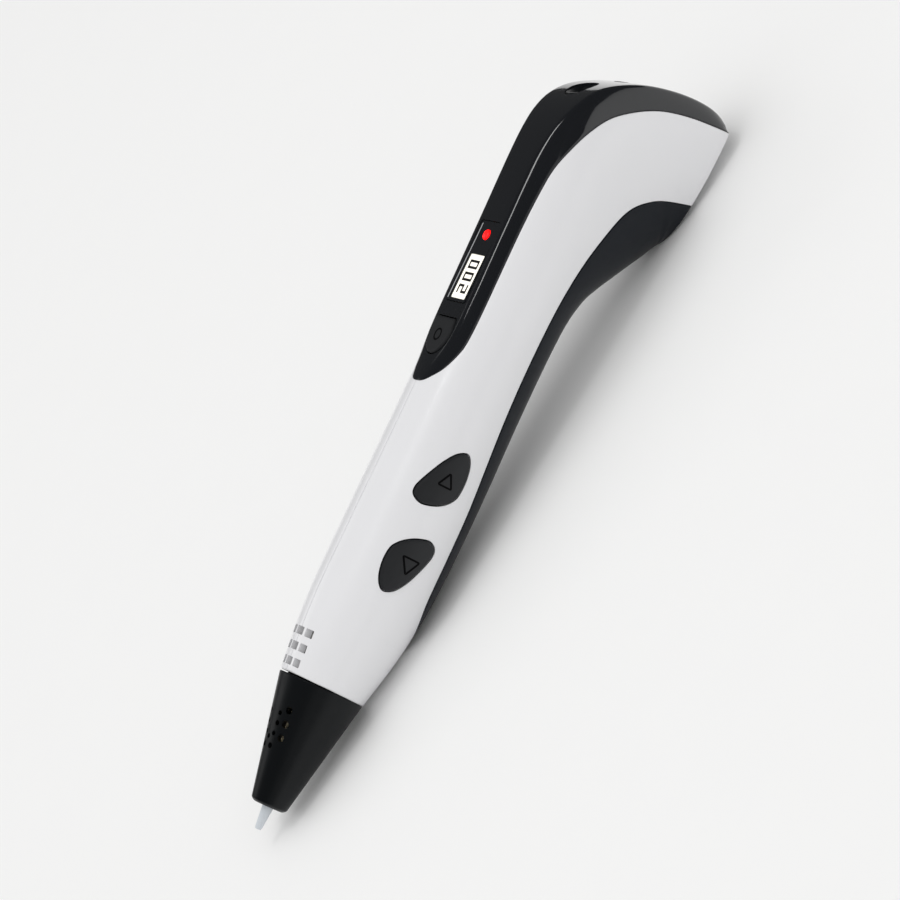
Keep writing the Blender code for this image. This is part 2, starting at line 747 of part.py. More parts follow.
def mode_outline(margin=0.0):
    """The tongue-shaped mode button: straight at its back edge and round at its front."""
    points = [(MODE_BUTTON_X + MODE_BACK, -MODE_HALF), (MODE_BUTTON_X + MODE_BACK, MODE_HALF)]
    for k in range(13):
        angle = math.pi * k / 12
        points.append((MODE_BUTTON_X + MODE_FRONT - MODE_NOSE * math.sin(angle),
                       MODE_HALF * math.cos(angle)))
    return grown(points, margin) if margin else points


def shells(parent):
    left = side_shell("shell_left", -1.0)
    right = side_shell("shell_right", 1.0)
    for cutter in vent_windows(parent):
        cut(left, cutter)
        cut(right, cutter)
    for name, middle, turn in (("feed", FEED_BUTTON, 1.0), ("retract", RETRACT_BUTTON, -1.0)):
        hole = outline_solid(f"{name}_hole", grown(button_outline(middle, turn), GAP), -20, -7)
        link(hole, CUTTERS, parent)
        cut(left, hole)
    for index, (x, z) in enumerate(SCREWS):
        seat = screw_seat(x, z)
        boss = rod(f"boss_{index}", (x, -seat - 0.6, z), (x, -0.6, z), SCREW_HEAD_R, 16)
        cut(left, link(boss, CUTTERS, parent), "UNION")
        pilot = rod(f"pilot_{index}", (x, -0.2 - SCREW_BITE, z), (x, 1.0, z), SCREW_R + 0.1, 16)
        cut(left, link(pilot, CUTTERS, parent))
        sleeve = rod(f"sleeve_{index}", (x, GAP, z), (x, seat + 0.6, z), SCREW_HEAD_R + 0.6, 16)
        cut(right, link(sleeve, CUTTERS, parent), "UNION")
        shank = rod(f"shank_{index}", (x, -1.0, z), (x, 20.0, z), SCREW_R + 0.3, 16)
        cut(right, link(shank, CUTTERS, parent))
        well = rod(f"well_{index}", (x, seat, z), (x, 20.0, z), SCREW_HEAD_R + 0.2, 16)
        cut(right, link(well, CUTTERS, parent))
    part(left, WHITE, parent)
    part(right, WHITE, parent)


def screw_seat(x, z):
    """Where a case screw's head sits, deep enough for all of its rim to lie below the skin."""
    return min(half_width_at(x, z - 2.0), half_width_at(x, z + 2.0)) - SCREW_SUNK


def case_screws(parent):
    """Pan-head screws, put in from the right-hand side."""
    for index, (x, z) in enumerate(SCREWS):
        seat = screw_seat(x, z) + 0.1
        tip = -0.2 - SCREW_BITE + 0.6
        profile = [(seat + 1.3, 0.0), (seat + 1.3, SCREW_HEAD_R - 0.5), (seat + 0.9, SCREW_HEAD_R),
                   (seat, SCREW_HEAD_R), (seat, SCREW_R), (tip + 0.8, SCREW_R), (tip, 0.2),
                   (tip, 0.0)]
        screw = turned(f"case_screw_{index + 1}", profile, 12, "Y")
        screw.location = Vector((x, 0, z)) * MM
        slot = box(f"cross_{index}", (-1.1, seat + 0.7, -0.25), (1.1, seat + 2.0, 0.25))
        slot.location = Vector((x, 0, z)) * MM
        cut(screw, link(slot, CUTTERS, parent))
        part(screw, STEEL, parent)


def top_panel(parent):
    panel = panel_skin()
    window = box("window_hole", (WINDOW_X - WINDOW_LENGTH / 2 - GAP, -WINDOW_WIDTH / 2 - GAP, 5),
                 (WINDOW_X + WINDOW_LENGTH / 2 + GAP, WINDOW_WIDTH / 2 + GAP, 20))
    mode = outline_solid("mode_hole", mode_outline(GAP), 5, 20, plane="XY")
    inlet = rod("inlet_hole", INLET_BACK - INLET_AXIS * 4, INLET_BACK + INLET_AXIS * 12,
                INLET_R + GAP, 24)
    jack = rod("jack_hole", (PEN_LENGTH - 12, 0, JACK_Z), (PEN_LENGTH + 5, 0, JACK_Z), JACK_R, 24)
    for cutter in (window, mode, inlet, jack):
        cut(panel, link(cutter, CUTTERS, parent))
    part(panel, BLACK, parent)


# ---------------------------------------------------------------------------------------------
# Nose: cone, nozzle and heater


def cone_radius(along):
    return CONE_FRONT_R + (CONE_BACK_R - CONE_FRONT_R) * (along - CONE_START) / (
        NOSE_END - CONE_START)


def nose(parent):
    """The nose is turned about its own axis, which rises a little from the tip."""
    axis = empty("nose_axis", (0, 0, TIP_Z), parent, (0.0, -NOSE_RISE, 0.0))
    hole = NOZZLE_R + 0.4
    end = NOSE_END - GAP
    lip = cone_radius(end) - WALL - GAP
    profile = [(end + SPIGOT_LENGTH, lip), (end, lip), (end, cone_radius(end)),
               (CONE_START + 1.0, cone_radius(CONE_START + 1.0) - 0.05),
               (CONE_START + 0.3, CONE_FRONT_R - 0.35), (CONE_START, CONE_FRONT_R - 0.9),
               (CONE_START, hole), (CONE_START + 1.2, hole),
               (CONE_START + 1.8, cone_radius(CONE_START + 1.8) - CONE_WALL),
               (end - 4.0, cone_radius(end - 4.0) - CONE_WALL), (end - 1.0, lip - CONE_WALL),
               (end + SPIGOT_LENGTH, lip - CONE_WALL)]
    cone = turned("nose_cone", profile, 28)
    for index, (x, angle, radius) in enumerate(CONE_HOLES):
        turn = math.radians(angle)
        out = Vector((0, math.sin(turn), math.cos(turn)))
        start = Vector((x, 0, 0)) + out * 2.5
        pin = rod(f"cone_hole_{index}", start, start + out * 12, radius, 6)
        cut(cone, link(pin, CUTTERS, axis))
    part(cone, CONE_BLACK, axis)

    seat = CONE_START + 2.4
    back = seat + 2.8
    nozzle = turned("nozzle", [(back, NOZZLE_SHOULDER_R), (seat, NOZZLE_SHOULDER_R),
                               (seat, NOZZLE_R), (CONE_START - 0.2, NOZZLE_R),
                               (0.3, NOZZLE_TIP_R + 0.12), (0.0, NOZZLE_TIP_R - 0.1),
                               (0.0, 0.35), (1.2, 0.35), (2.0, BORE_R - 0.1), (back, BORE_R - 0.1)], 20)
    part(nozzle, CERAMIC, axis)

    heater_start = back + GAP
    heater_end = heater_start + HEATER_LENGTH
    heater = turned("heater_tube", [(heater_end, HEATER_R), (heater_start, HEATER_R),
                                    (heater_start, BORE_R), (heater_end, BORE_R)], 16)
    part(heater, BRASS, axis)
    inner = HEATER_R + GAP
    sleeve = turned("heater_sleeve", [(heater_end - 1.0, inner + SLEEVE_WALL),
                                      (heater_start + 3.0, inner + SLEEVE_WALL),
                                      (heater_start + 3.0, inner), (heater_end - 1.0, inner)], 16)
    part(sleeve, SLEEVE, axis)
    probe_z = -(inner + SLEEVE_WALL + GAP + 0.6)
    part(rod("thermistor", (heater_end - 7.5, 0, probe_z), (heater_end - 2.5, 0, probe_z), 0.6, 12),
         GLASS_BEAD, axis)

    break_start = heater_end + GAP
    flange = break_start + 3.0
    collar_start = NOSE_END + 0.6
    break_end = collar_start + 6.0
    heat_break = turned("heat_break", [(break_end, BREAK_R), (flange + 1.2, BREAK_R),
                                       (flange + 1.2, BREAK_R + 1.4), (flange, BREAK_R + 1.4),
                                       (flange, BREAK_R), (break_start, BREAK_R),
                                       (break_start, BORE_R), (break_end, BORE_R)], 16)
    part(heat_break, STEEL, axis)
    register = lip - CONE_WALL - GAP
    bore = BREAK_R + RUN
    collar = turned("cold_end_collar", [(COLLAR_END, COLLAR_R), (collar_start + 3.0, COLLAR_R),
                                        (collar_start + 2.0, register), (collar_start, register),
                                        (collar_start, bore), (break_end + GAP, bore),
                                        (break_end + GAP, TUBE_R + 0.15),
                                        (COLLAR_END, TUBE_R + 0.15)], 20)
    part(collar, NYLON, axis)


def nose_point(along):
    """A point of the nose's axis in the pen's frame."""
    return Vector((along * math.cos(NOSE_RISE), 0.0, TIP_Z + along * math.sin(NOSE_RISE)))


# ---------------------------------------------------------------------------------------------
# Filament path


def hollow_tube(name, points, outer, inner, count, parent):
    path = smooth_path(points, count)
    tube = wire(name, path, outer, 1)
    ends = [path[0] + (path[0] - path[1]), *path, path[-1] + (path[-1] - path[-2])]
    cut(tube, link(wire(name + "_bore", ends, inner, 1), CUTTERS, parent))
    return tube


def filament_path(parent):
    start = nose_point(COLLAR_END - 2.5)
    drive = DRIVE_X - HOB_R - 1.6
    lower = hollow_tube("guide_tube", [start, (NOSE_END + 25, 0, 1.6), (NOSE_END + 60, -0.6, 0.9),
                                       (drive - 15, FEED_Y, FEED_Z), (drive, FEED_Y, FEED_Z)],
                        TUBE_R, BORE_R, 18, parent)
    part(lower, PTFE, parent)
    back = INLET_BACK - INLET_AXIS * GAP
    start = Vector((DRIVE_X + HOB_R + 1.6, FEED_Y, FEED_Z))
    upper = hollow_tube("inlet_tube", [start, start + Vector((4.5, 0.3, 0.3)),
                                       back - INLET_AXIS * 5, back],
                        TUBE_R, BORE_R, 10, parent)
    part(upper, PTFE, parent)
    seat = empty("inlet_axis", INLET_BACK, parent)
    seat.rotation_euler = INLET_AXIS.to_track_quat("X", "Z").to_euler()
    depth = INLET_DEPTH
    funnel = turned("inlet_funnel", [(depth, INLET_R), (1.2, INLET_R), (0.6, INLET_R - 0.6),
                                     (0.0, TUBE_R + 0.6), (0.0, BORE_R + 0.1),
                                     (1.8, BORE_R + 0.1), (depth, INLET_R - 0.7)], 20)
    part(funnel, CONE_BLACK, seat)


# ---------------------------------------------------------------------------------------------
# Drive


def gear_outline(teeth, pitch, tip, root, middle):
    """Straight-sided teeth, with a gap pointing straight down."""
    points = []
    pitch_angle = 2 * math.pi / teeth
    half_tip, half_root = 0.2 / tip, 0.55 / root
    for k in range(teeth):
        centre = -math.pi / 2 + (k + 0.5) * pitch_angle
        for radius, offset in ((root, -half_root), (tip, -half_tip), (tip, half_tip),
                               (root, half_root)):
            angle = centre + offset
            points.append((middle[0] + radius * math.cos(angle),
                           middle[1] + radius * math.sin(angle)))
    return points


def worm_mesh(name, length, crest_x, lead, tip, root, bore):
    """A one-start worm about the X axis, its crest facing up at crest_x."""
    around, along = 14, int(length / lead * 7)
    bm = bmesh.new()
    outer, inner = [], []
    for step in range(along + 1):
        x = crest_x - length / 2 + length * step / along
        ring, core = [], []
        for k in range(around):
            angle = 2 * math.pi * k / around
            phase = ((x - crest_x) / lead - (angle / (2 * math.pi) - 0.25) + 0.5) % 1.0 - 0.5
            side = abs(phase) * lead
            height = np.clip((0.46 - side) / 0.28, 0.0, 1.0)
            radius = root + (tip - root) * height
            if step in (0, along):
                radius = root
            ring.append(bm.verts.new(Vector((x, radius * math.cos(angle),
                                             radius * math.sin(angle))) * MM))
            if step in (0, along):
                core.append(bm.verts.new(Vector((x, bore * math.cos(angle),
                                                 bore * math.sin(angle))) * MM))
        outer.append(ring)
        if core:
            inner.append(core)
    for k in range(around):
        after = (k + 1) % around
        for first, second in zip(outer, outer[1:]):
            bm.faces.new((first[k], first[after], second[after], second[k]))
        bm.faces.new((inner[0][k], inner[0][after], inner[1][after], inner[1][k]))
        for ring, core in ((outer[0], inner[0]), (outer[-1], inner[1])):
            bm.faces.new((ring[k], ring[after], core[after], core[k]))
    bmesh.ops.recalc_face_normals(bm, faces=bm.faces)
    return smooth(mesh_object(name, bm))


def drive(parent):
    axis = empty("drive_axis", (DRIVE_X, 0, DRIVE_Z), parent)
    reach = FRAME_HALF + FRAME_WALL + 0.9
    part(rod("drive_shaft", (0, -reach, 0), (0, reach, 0), SHAFT_R, 20), STEEL, axis)
    bore = SHAFT_R + RUN
    hob = turned("drive_gear", [(1.3, HOB_R - 0.25), (0.9, HOB_R), (0.4, HOB_R - 0.25),
                                (-0.4, HOB_R - 0.25), (-0.9, HOB_R), (-1.3, HOB_R - 0.25),
                                (-1.3, bore), (1.3, bore)], 18, "Y")
    hob.location = Vector((0, FEED_Y, 0)) * MM
    part(hob, STEEL, axis)
    pitch = WHEEL_TEETH * MODULE / 2
    teeth = gear_outline(WHEEL_TEETH, pitch, pitch + 0.5, pitch - 0.65, (0, 0))
    wheel = outline_solid("worm_wheel", teeth, WHEEL_Y - WHEEL_WIDTH / 2, WHEEL_Y + WHEEL_WIDTH / 2)
    eye = rod("wheel_eye", (0, WHEEL_Y - 3, 0), (0, WHEEL_Y + 3, 0), bore, 20)
    cut(wheel, link(eye, CUTTERS, axis))
    part(wheel, BRASS, axis)
    for name, sign in (("shaft_bush_left", -1.0), ("shaft_bush_right", 1.0)):
        inner, outer = FRAME_HALF + 0.1, FRAME_HALF + FRAME_WALL + 0.5
        bush = turned(name, [(outer, BUSH_R + 0.6), (outer - 0.4, BUSH_R + 0.6),
                             (outer - 0.4, BUSH_R), (inner, BUSH_R), (inner, bore), (outer, bore)],
                      14, "Y")
        place = empty(name + "_seat", (DRIVE_X, 0, DRIVE_Z), parent)
        if sign < 0:
            place.rotation_euler = (0.0, 0.0, math.pi)
        part(bush, BRASS, place)

    worm_axis = empty("worm_axis", (DRIVE_X, WHEEL_Y, WORM_Z), parent)
    lead = math.pi * MODULE
    worm = worm_mesh("worm", WORM_LENGTH, 0.0, lead, WORM_PITCH_R + 0.5, WORM_PITCH_R - 0.65,
                     SHAFT_R + RUN)
    part(worm, BRASS, worm_axis)
    part(rod("motor_shaft", (-WORM_LENGTH / 2 - 0.6, 0, 0), (GEARBOX_X - DRIVE_X + 2.5, 0, 0),
             SHAFT_R, 20), STEEL, worm_axis)


def motor(parent):
    low_z, high_z = WORM_Z - MOTOR_H / 2, WORM_Z + MOTOR_H / 2
    low_y, high_y = WHEEL_Y - MOTOR_W / 2, WHEEL_Y + MOTOR_W / 2
    gearbox = box("gearbox", (GEARBOX_X, low_y, low_z), (GEARBOX_X + GEARBOX_LENGTH, high_y, high_z))
    bevel(gearbox, 0.5)
    mouth = rod("gearbox_mouth", (GEARBOX_X - 1, WHEEL_Y, WORM_Z),
                (GEARBOX_X + 3.2, WHEEL_Y, WORM_Z), SHAFT_R + 0.15, 20)
    cut(gearbox, link(mouth, CUTTERS, parent))
    part(gearbox, BRASS, parent)
    can_x = GEARBOX_X + GEARBOX_LENGTH + GAP
    flat = math.asin(MOTOR_H / MOTOR_W)
    outline = []
    for centre in (0.0, math.pi):
        for k in range(9):
            angle = centre + flat * (k / 4 - 1)
            outline.append((WHEEL_Y + MOTOR_W / 2 * math.cos(angle),
                            WORM_Z + MOTOR_W / 2 * math.sin(angle)))
    can = outline_solid("motor_can", outline, can_x, can_x + CAN_LENGTH, plane="YZ")
    boss = rod("motor_boss", (can_x + CAN_LENGTH - 1, WHEEL_Y, WORM_Z),
               (can_x + CAN_LENGTH + 0.6, WHEEL_Y, WORM_Z), 1.8, 16)
    cut(can, link(boss, CUTTERS, parent), "UNION")
    part(can, STEEL, parent)


def feed_frame(parent):
    """The bracket that carries the drive shaft, the idler's pivot, the spring and the gearbox."""
    outer = FRAME_HALF + FRAME_WALL
    front, back = DRIVE_X - 10.4, GEARBOX_X - GAP
    low = WORM_Z - MOTOR_H / 2
    frame = box("feed_frame", (front, -outer, DRIVE_Z - 5.4), (back, outer, FRAME_TOP))
    lower = box("frame_foot", (back - FRAME_WALL * 1.3, -outer, low), (back, outer, DRIVE_Z))
    inside = box("frame_inside", (front + FRAME_WALL, -FRAME_HALF, DRIVE_Z - 20),
                 (back - FRAME_WALL * 1.3, FRAME_HALF, FRAME_TOP + 5))
    worm_way = box("frame_worm_way", (front - 1, -outer - 1, low - 1),
                   (back - FRAME_WALL * 1.3, outer + 1, DRIVE_Z - 5.4))
    bridge = box("frame_bridge", (SPRING_X - 2.4, -outer + 0.3, FRAME_TOP - 0.1),
                 (back, outer - 0.3, BRIDGE_TOP))
    seat = box("bridge_under", (SPRING_X - 3, -FRAME_HALF, FRAME_TOP - 3),
               (back - FRAME_WALL * 1.3, FRAME_HALF, BRIDGE_TOP - 1.3))
    cut(frame, link(lower, CUTTERS, parent), "UNION")
    cut(frame, link(bridge, CUTTERS, parent), "UNION")
    cut(frame, link(worm_way, CUTTERS, parent))
    holes = [
        rod("frame_shaft_hole", (DRIVE_X, -20, DRIVE_Z), (DRIVE_X, 20, DRIVE_Z),
            BUSH_R + RUN, 20),
        rod("frame_pivot_hole", (PIVOT_X, -20, PIVOT_Z), (PIVOT_X, 20, PIVOT_Z),
            PIVOT_R + RUN, 16),
        rod("frame_worm_hole", (back - 5, WHEEL_Y, WORM_Z), (back + 5, WHEEL_Y, WORM_Z),
            SHAFT_R + 0.5, 20),
        rod("frame_tube_way", (front - 5, FEED_Y, FEED_Z), (back + 5, FEED_Y, FEED_Z),
            TUBE_R + 0.3, 20),
        rod("frame_tube_rise", (back - 4, FEED_Y, FEED_Z), (back + 4, FEED_Y + 0.4, FEED_Z + 0.8),
            TUBE_R + 0.45, 20),
    ]
    for cutter in [inside, seat] + holes:
        cut(frame, link(cutter, CUTTERS, parent))
    part(frame, FRAME_GREY, parent)


def idler(parent):
    pivot = empty("idler_axis", (PIVOT_X, 0, PIVOT_Z), parent)
    reach = FRAME_HALF + FRAME_WALL
    part(rod("pivot_pin", (PIVOT_X, -reach, PIVOT_Z), (PIVOT_X, reach, PIVOT_Z), PIVOT_R, 16),
         STEEL, parent)
    bearing = Vector((DRIVE_X - PIVOT_X, 0, IDLER_Z - PIVOT_Z))
    pad = Vector((SPRING_X - PIVOT_X, 0, IDLER_Z - PIVOT_Z))
    outline = [(-1.9, -1.0), (-1.0, -1.9), (1.2, -1.9), (bearing.x - 2.4, bearing.z - 1.4),
               (bearing.x, bearing.z - 1.9), (bearing.x + 1.8, bearing.z - 1.4),
               (pad.x + 1.9, pad.z - 1.2), (pad.x + 1.9, pad.z + 0.3),
               (pad.x - 1.7, pad.z + 0.3), (bearing.x + 1.7, bearing.z + 1.4),
               (bearing.x, bearing.z + 1.9),
               (bearing.x - 2.4, bearing.z + 1.6), (1.2, 1.6), (0.0, 1.9), (-1.4, 1.4)]
    arm = outline_solid("idler_arm", outline, ARM_Y, ARM_Y + 2.0)
    hub = rod("arm_hub", (0, -FRAME_HALF + 0.4, 0), (0, FRAME_HALF - 0.4, 0), 1.55, 20)
    pad_block = box("arm_pad", (pad.x - 1.4, SPRING_Y - 1.5, pad.z - 0.9),
                    (pad.x + 1.6, SPRING_Y + 1.5, pad.z + 0.6))
    eye = rod("arm_eye", (0, -10, 0), (0, 10, 0), PIVOT_R + RUN, 20)
    seat = rod("arm_bearing_eye", bearing + Vector((0, -9, 0)), bearing + Vector((0, 9, 0)),
               AXLE_R + RUN, 16)
    for cutter, kind in ((hub, "UNION"), (pad_block, "UNION"), (eye, "DIFFERENCE"),
                         (seat, "DIFFERENCE")):
        cut(arm, link(cutter, CUTTERS, pivot), kind)
    part(arm, ARM_GREY, pivot)
    axle = turned("idler_axle", [(ARM_Y + 2.0, AXLE_R), (FEED_Y - 1.1, AXLE_R),
                                 (FEED_Y - 1.1, AXLE_R + 0.5), (FEED_Y - 1.5, AXLE_R + 0.5),
                                 (FEED_Y - 1.5, 0.0), (ARM_Y + 2.0, 0.0)], 14, "Y")
    axle.location = bearing * MM
    part(axle, STEEL, pivot)
    spin = empty("bearing_axis", bearing, pivot)
    bore = AXLE_R + RUN
    ring = turned("idler_bearing", [(1.0, IDLER_R - 0.15), (0.85, IDLER_R), (-0.85, IDLER_R),
                                    (-1.0, IDLER_R - 0.15), (-1.0, bore), (1.0, bore)], 20, "Y")
    ring.location = Vector((0, FEED_Y, 0)) * MM
    part(ring, STEEL, spin)
    low = IDLER_Z + 0.6 + 0.15 + SPRING_WIRE
    high = BRIDGE_TOP - 1.3 - 0.15 - SPRING_WIRE
    turns, count = 3.5, 28
    coil = [(SPRING_X + SPRING_R * math.cos(2 * math.pi * turns * k / count),
             SPRING_Y + SPRING_R * math.sin(2 * math.pi * turns * k / count),
             low + (high - low) * k / count) for k in range(count + 1)]
    part(wire("idler_spring", coil, SPRING_WIRE, 1), STEEL, parent)


# ---------------------------------------------------------------------------------------------
# Boards, controls and display


def side_button(name, middle, turn, parent):
    """A button cap that follows the barrel, with a flange inside the shell and a stem below."""
    outline = button_outline(middle, turn)
    radius = RIB_MID_R * BODY_SCALE
    slide = empty(name + "_slide", (middle[0], -radius, middle[1]), parent)
    shift = -Vector((middle[0], -radius, middle[1]))
    inner = -(radius - WALL - 2.4)

    def moved(item):
        item.location = shift * MM
        return item

    def trim(label, reach):
        low, high = (middle[0] - 15, 0, RIB_MID_Z), (middle[0] + 15, 0, RIB_MID_Z)
        return moved(link(rod(label, low, high, reach, 64), CUTTERS, slide))

    cap = outline_solid(name, outline, -20, inner)
    cap.location = shift * MM
    cut(cap, trim(name + "_crown", radius + BUTTON_PROUD), "INTERSECT")
    flange = outline_solid(name + "_flange", grown(outline, FLANGE), -20, inner)
    moved(link(flange, CUTTERS, slide))
    cut(flange, trim(name + "_under", radius - WALL - 2 * GAP), "INTERSECT")
    cut(cap, flange, "UNION")
    part(cap, BUTTON_GREY, slide)

    board_y = inner + 3.2
    stem = rod(name.replace("button", "stem"), (middle[0], inner + GAP, middle[1]),
               (middle[0], inner + 1.7, middle[1]), STEM_R, 16)
    stem.location = shift * MM
    part(stem, BUTTON_GREY, slide)
    body = box(name.replace("button", "switch"), (middle[0] - 2.6, inner + 1.2, middle[1] - 2.6),
               (middle[0] + 2.6, board_y - GAP, middle[1] + 2.6))
    well = rod(name + "_well", (middle[0], inner, middle[1]), (middle[0], inner + 2.4, middle[1]),
               STEM_R + 0.15, 16)
    cut(body, link(well, CUTTERS, parent))
    part(body, SWITCH_STEEL, parent)
    return board_y


def side_controls(parent):
    board_y = side_button("feed_button", FEED_BUTTON, 1.0, parent)
    side_button("retract_button", RETRACT_BUTTON, -1.0, parent)
    board = box("side_board", (FEED_BUTTON[0] - 5.5, board_y, FEED_BUTTON[1] - 5.5),
                (RETRACT_BUTTON[0] + 6.5, board_y + 1.0, RETRACT_BUTTON[1] + 5.0))
    part(board, BOARD_GREEN, parent)


def mode_control(parent):
    top = PANEL_HEIGHT + MODE_PROUD
    inside = PANEL_HEIGHT - WALL
    slide = empty("mode_slide", (MODE_BUTTON_X, 0, top), parent)
    shift = -Vector((MODE_BUTTON_X, 0, top)) * MM
    flange_low = inside - 0.95
    cap = outline_solid("mode_button", mode_outline(), flange_low, top, plane="XY")
    cap.location = shift
    flange = outline_solid("mode_flange", mode_outline(0.6), flange_low, inside - 0.3, plane="XY")
    flange.location = shift
    cut(cap, link(flange, CUTTERS, slide), "UNION")
    part(cap, BUTTON_GREY, slide)
    stem = rod("mode_stem", (MODE_BUTTON_X, 0, flange_low - 1.0),
               (MODE_BUTTON_X, 0, flange_low - 0.2), STEM_R, 16)
    stem.location = shift
    part(stem, BUTTON_GREY, slide)
    body = box("mode_switch", (MODE_BUTTON_X - 2.6, -2.6, BOARD_TOP + GAP),
               (MODE_BUTTON_X + 2.6, 2.6, flange_low - 0.6))
    well = rod("mode_well", (MODE_BUTTON_X, 0, flange_low - 1.5), (MODE_BUTTON_X, 0, 30),
               STEM_R + 0.15, 16)
    cut(body, link(well, CUTTERS, parent))
    part(body, SWITCH_STEEL, parent)


def display(parent):
    panel_z = Section(where_x(WINDOW_X)).top_z
    glass = box("display_window", (WINDOW_X - WINDOW_LENGTH / 2, -WINDOW_WIDTH / 2, panel_z - 1.2),
                (WINDOW_X + WINDOW_LENGTH / 2, WINDOW_WIDTH / 2, panel_z - 0.05))
    hole = rod("light_hole", (LED_X, LED_Y, 5), (LED_X, LED_Y, 20), LED_R + 0.2, 20)
    cut(glass, link(hole, CUTTERS, parent))
    part(glass, SMOKED, parent)
    low = panel_z - 1.2 - GAP
    lens = turned("status_light", [(panel_z + 0.55, 0.0), (panel_z + 0.42, LED_R * 0.55),
                                   (panel_z + 0.1, LED_R * 0.9), (panel_z - 0.3, LED_R),
                                   (low + 0.1, LED_R),
                                   (low + 0.1, LED_R + 0.5), (low - 0.5, LED_R + 0.5),
                                   (low - 0.5, 0.0)], 20, "Z")
    lens.location = Vector((LED_X, LED_Y, 0)) * MM
    part(lens, RED_LIGHT, parent)
    module = box("display_module", (DISPLAY_X[0], -4.3, low - 1.4), (DISPLAY_X[1], 4.3, low))
    part(bevel(module, 0.3), DISPLAY_DARK, parent)
    part(box("status_led", (LED_X - 0.8, LED_Y - 0.6, BOARD_TOP + GAP),
             (LED_X + 0.8, LED_Y + 0.6, BOARD_TOP + 1.1)), RED_LIGHT, parent)


def main_board(parent):
    board = box("main_board", (HEAD + 2.5, -BOARD_HALF, BOARD_TOP - 1.0),
                (HEAD + 42.5, BOARD_HALF, BOARD_TOP))
    part(bevel(board, 0.8), BOARD_GREEN, parent)
    chip = box("control_chip", (HEAD + 18.0, -2.5, BOARD_TOP + 0.1 + 0.2),
               (HEAD + 23.0, 2.5, BOARD_TOP + 1.0))
    part(chip, CHIP_BLACK, parent)


def power_jack(parent):
    jack = box("power_jack", (JACK_X - 9.3, -JACK_R + 0.3, JACK_Z - JACK_R + 0.3),
               (JACK_X - 3.2, JACK_R - 0.3, JACK_Z + JACK_R - 0.3))
    bevel(jack, 0.5)
    barrel = rod("jack_barrel", (JACK_X - 5, 0, JACK_Z), (JACK_X, 0, JACK_Z), JACK_R - 0.4, 24)
    cut(jack, link(barrel, CUTTERS, parent), "UNION")
    bore = turned("jack_bore", [(JACK_X + 1, JACK_BORE_R), (JACK_X - 7.8, JACK_BORE_R),
                                (JACK_X - 7.8, JACK_PIN_R), (JACK_X - 0.8, JACK_PIN_R),
                                (JACK_X - 0.8, 0.0), (JACK_X + 1, 0.0)], 20)
    bore.location = Vector((0, 0, JACK_Z)) * MM
    cut(jack, link(bore, CUTTERS, parent))
    part(jack, CHIP_BLACK, parent)


def cooling_fan(parent):
    x, z = FAN_X, FAN_Z
    half = FAN_HALF
    housing = box("fan_housing", (x - half, -half, z), (x + half, half, z + FAN_DEPTH))
    bevel(housing, 0.6)
    duct = rod("fan_duct", (x, 0, z + 0.9), (x, 0, z + 10), half - 0.7, 32)
    cut(housing, link(duct, CUTTERS, parent))
    for k in range(3):
        turn = 2 * math.pi * (k + 0.25) / 3
        out = Vector((math.cos(turn), math.sin(turn), 0))
        middle = Vector((x, 0, z)) + out * (half - 2.4)
        grille = rod(f"fan_port_{k}", middle - Vector((0, 0, 2)), middle + Vector((0, 0, 2)),
                     1.5, 12)
        cut(housing, link(grille, CUTTERS, parent))
    part(housing, CHIP_BLACK, parent)
    spin = empty("fan_axis", (x, 0, z), parent)
    rotor = rod("fan_rotor", (0, 0, 1.2), (0, 0, FAN_DEPTH - 0.2), 1.7, 20)
    for k in range(5):
        blade = box(f"fan_blade_{k}", (1.2, -0.25, 1.3), (half - 1.2, 0.25, FAN_DEPTH - 0.3))
        blade.rotation_euler = (0.45, 0.0, 2 * math.pi * k / 5)
        cut(rotor, link(blade, CUTTERS, spin), "UNION")
    part(rotor, CHIP_BLACK, spin)


# ---------------------------------------------------------------------------------------------
# Placing


def rest_tilt():
    """The nose-down angle at which the belly and the head's front edge share a table."""
    heel_x, heel_z = RIBS[-1][2], RIBS[-1][3]
    slopes = [(z - heel_z) / (heel_x - x) for _, _, x, z in RIBS[:, :4] if x < HEAD]
    return math.atan(min(slopes))


def lay_down(pen):
    """Turn the pen to its rest and put the middle of its box's base on the origin."""
    pen.rotation_euler = (0.0, -rest_tilt(), 0.0)
    bpy.context.view_layer.update()
    graph = bpy.context.evaluated_depsgraph_get()
    corners = []
    for item in PARTS.objects:
        if item.type == "MESH":
            evaluated = item.evaluated_get(graph)
            points = np.empty(len(evaluated.data.vertices) * 3)
            evaluated.data.vertices.foreach_get("co", points)
            matrix = np.array(evaluated.matrix_world)
            corners.append(points.reshape(-1, 3) @ matrix[:3, :3].T + matrix[:3, 3])
    corners = np.concatenate(corners)
    low, high = corners.min(axis=0), corners.max(axis=0)
    pen.location = (-(low[0] + high[0]) / 2, -(low[1] + high[1]) / 2, -low[2])
    bpy.context.view_layer.update()


clear_scene()
PARTS = new_collection("three_d_pen")
CUTTERS = new_collection("cutters")

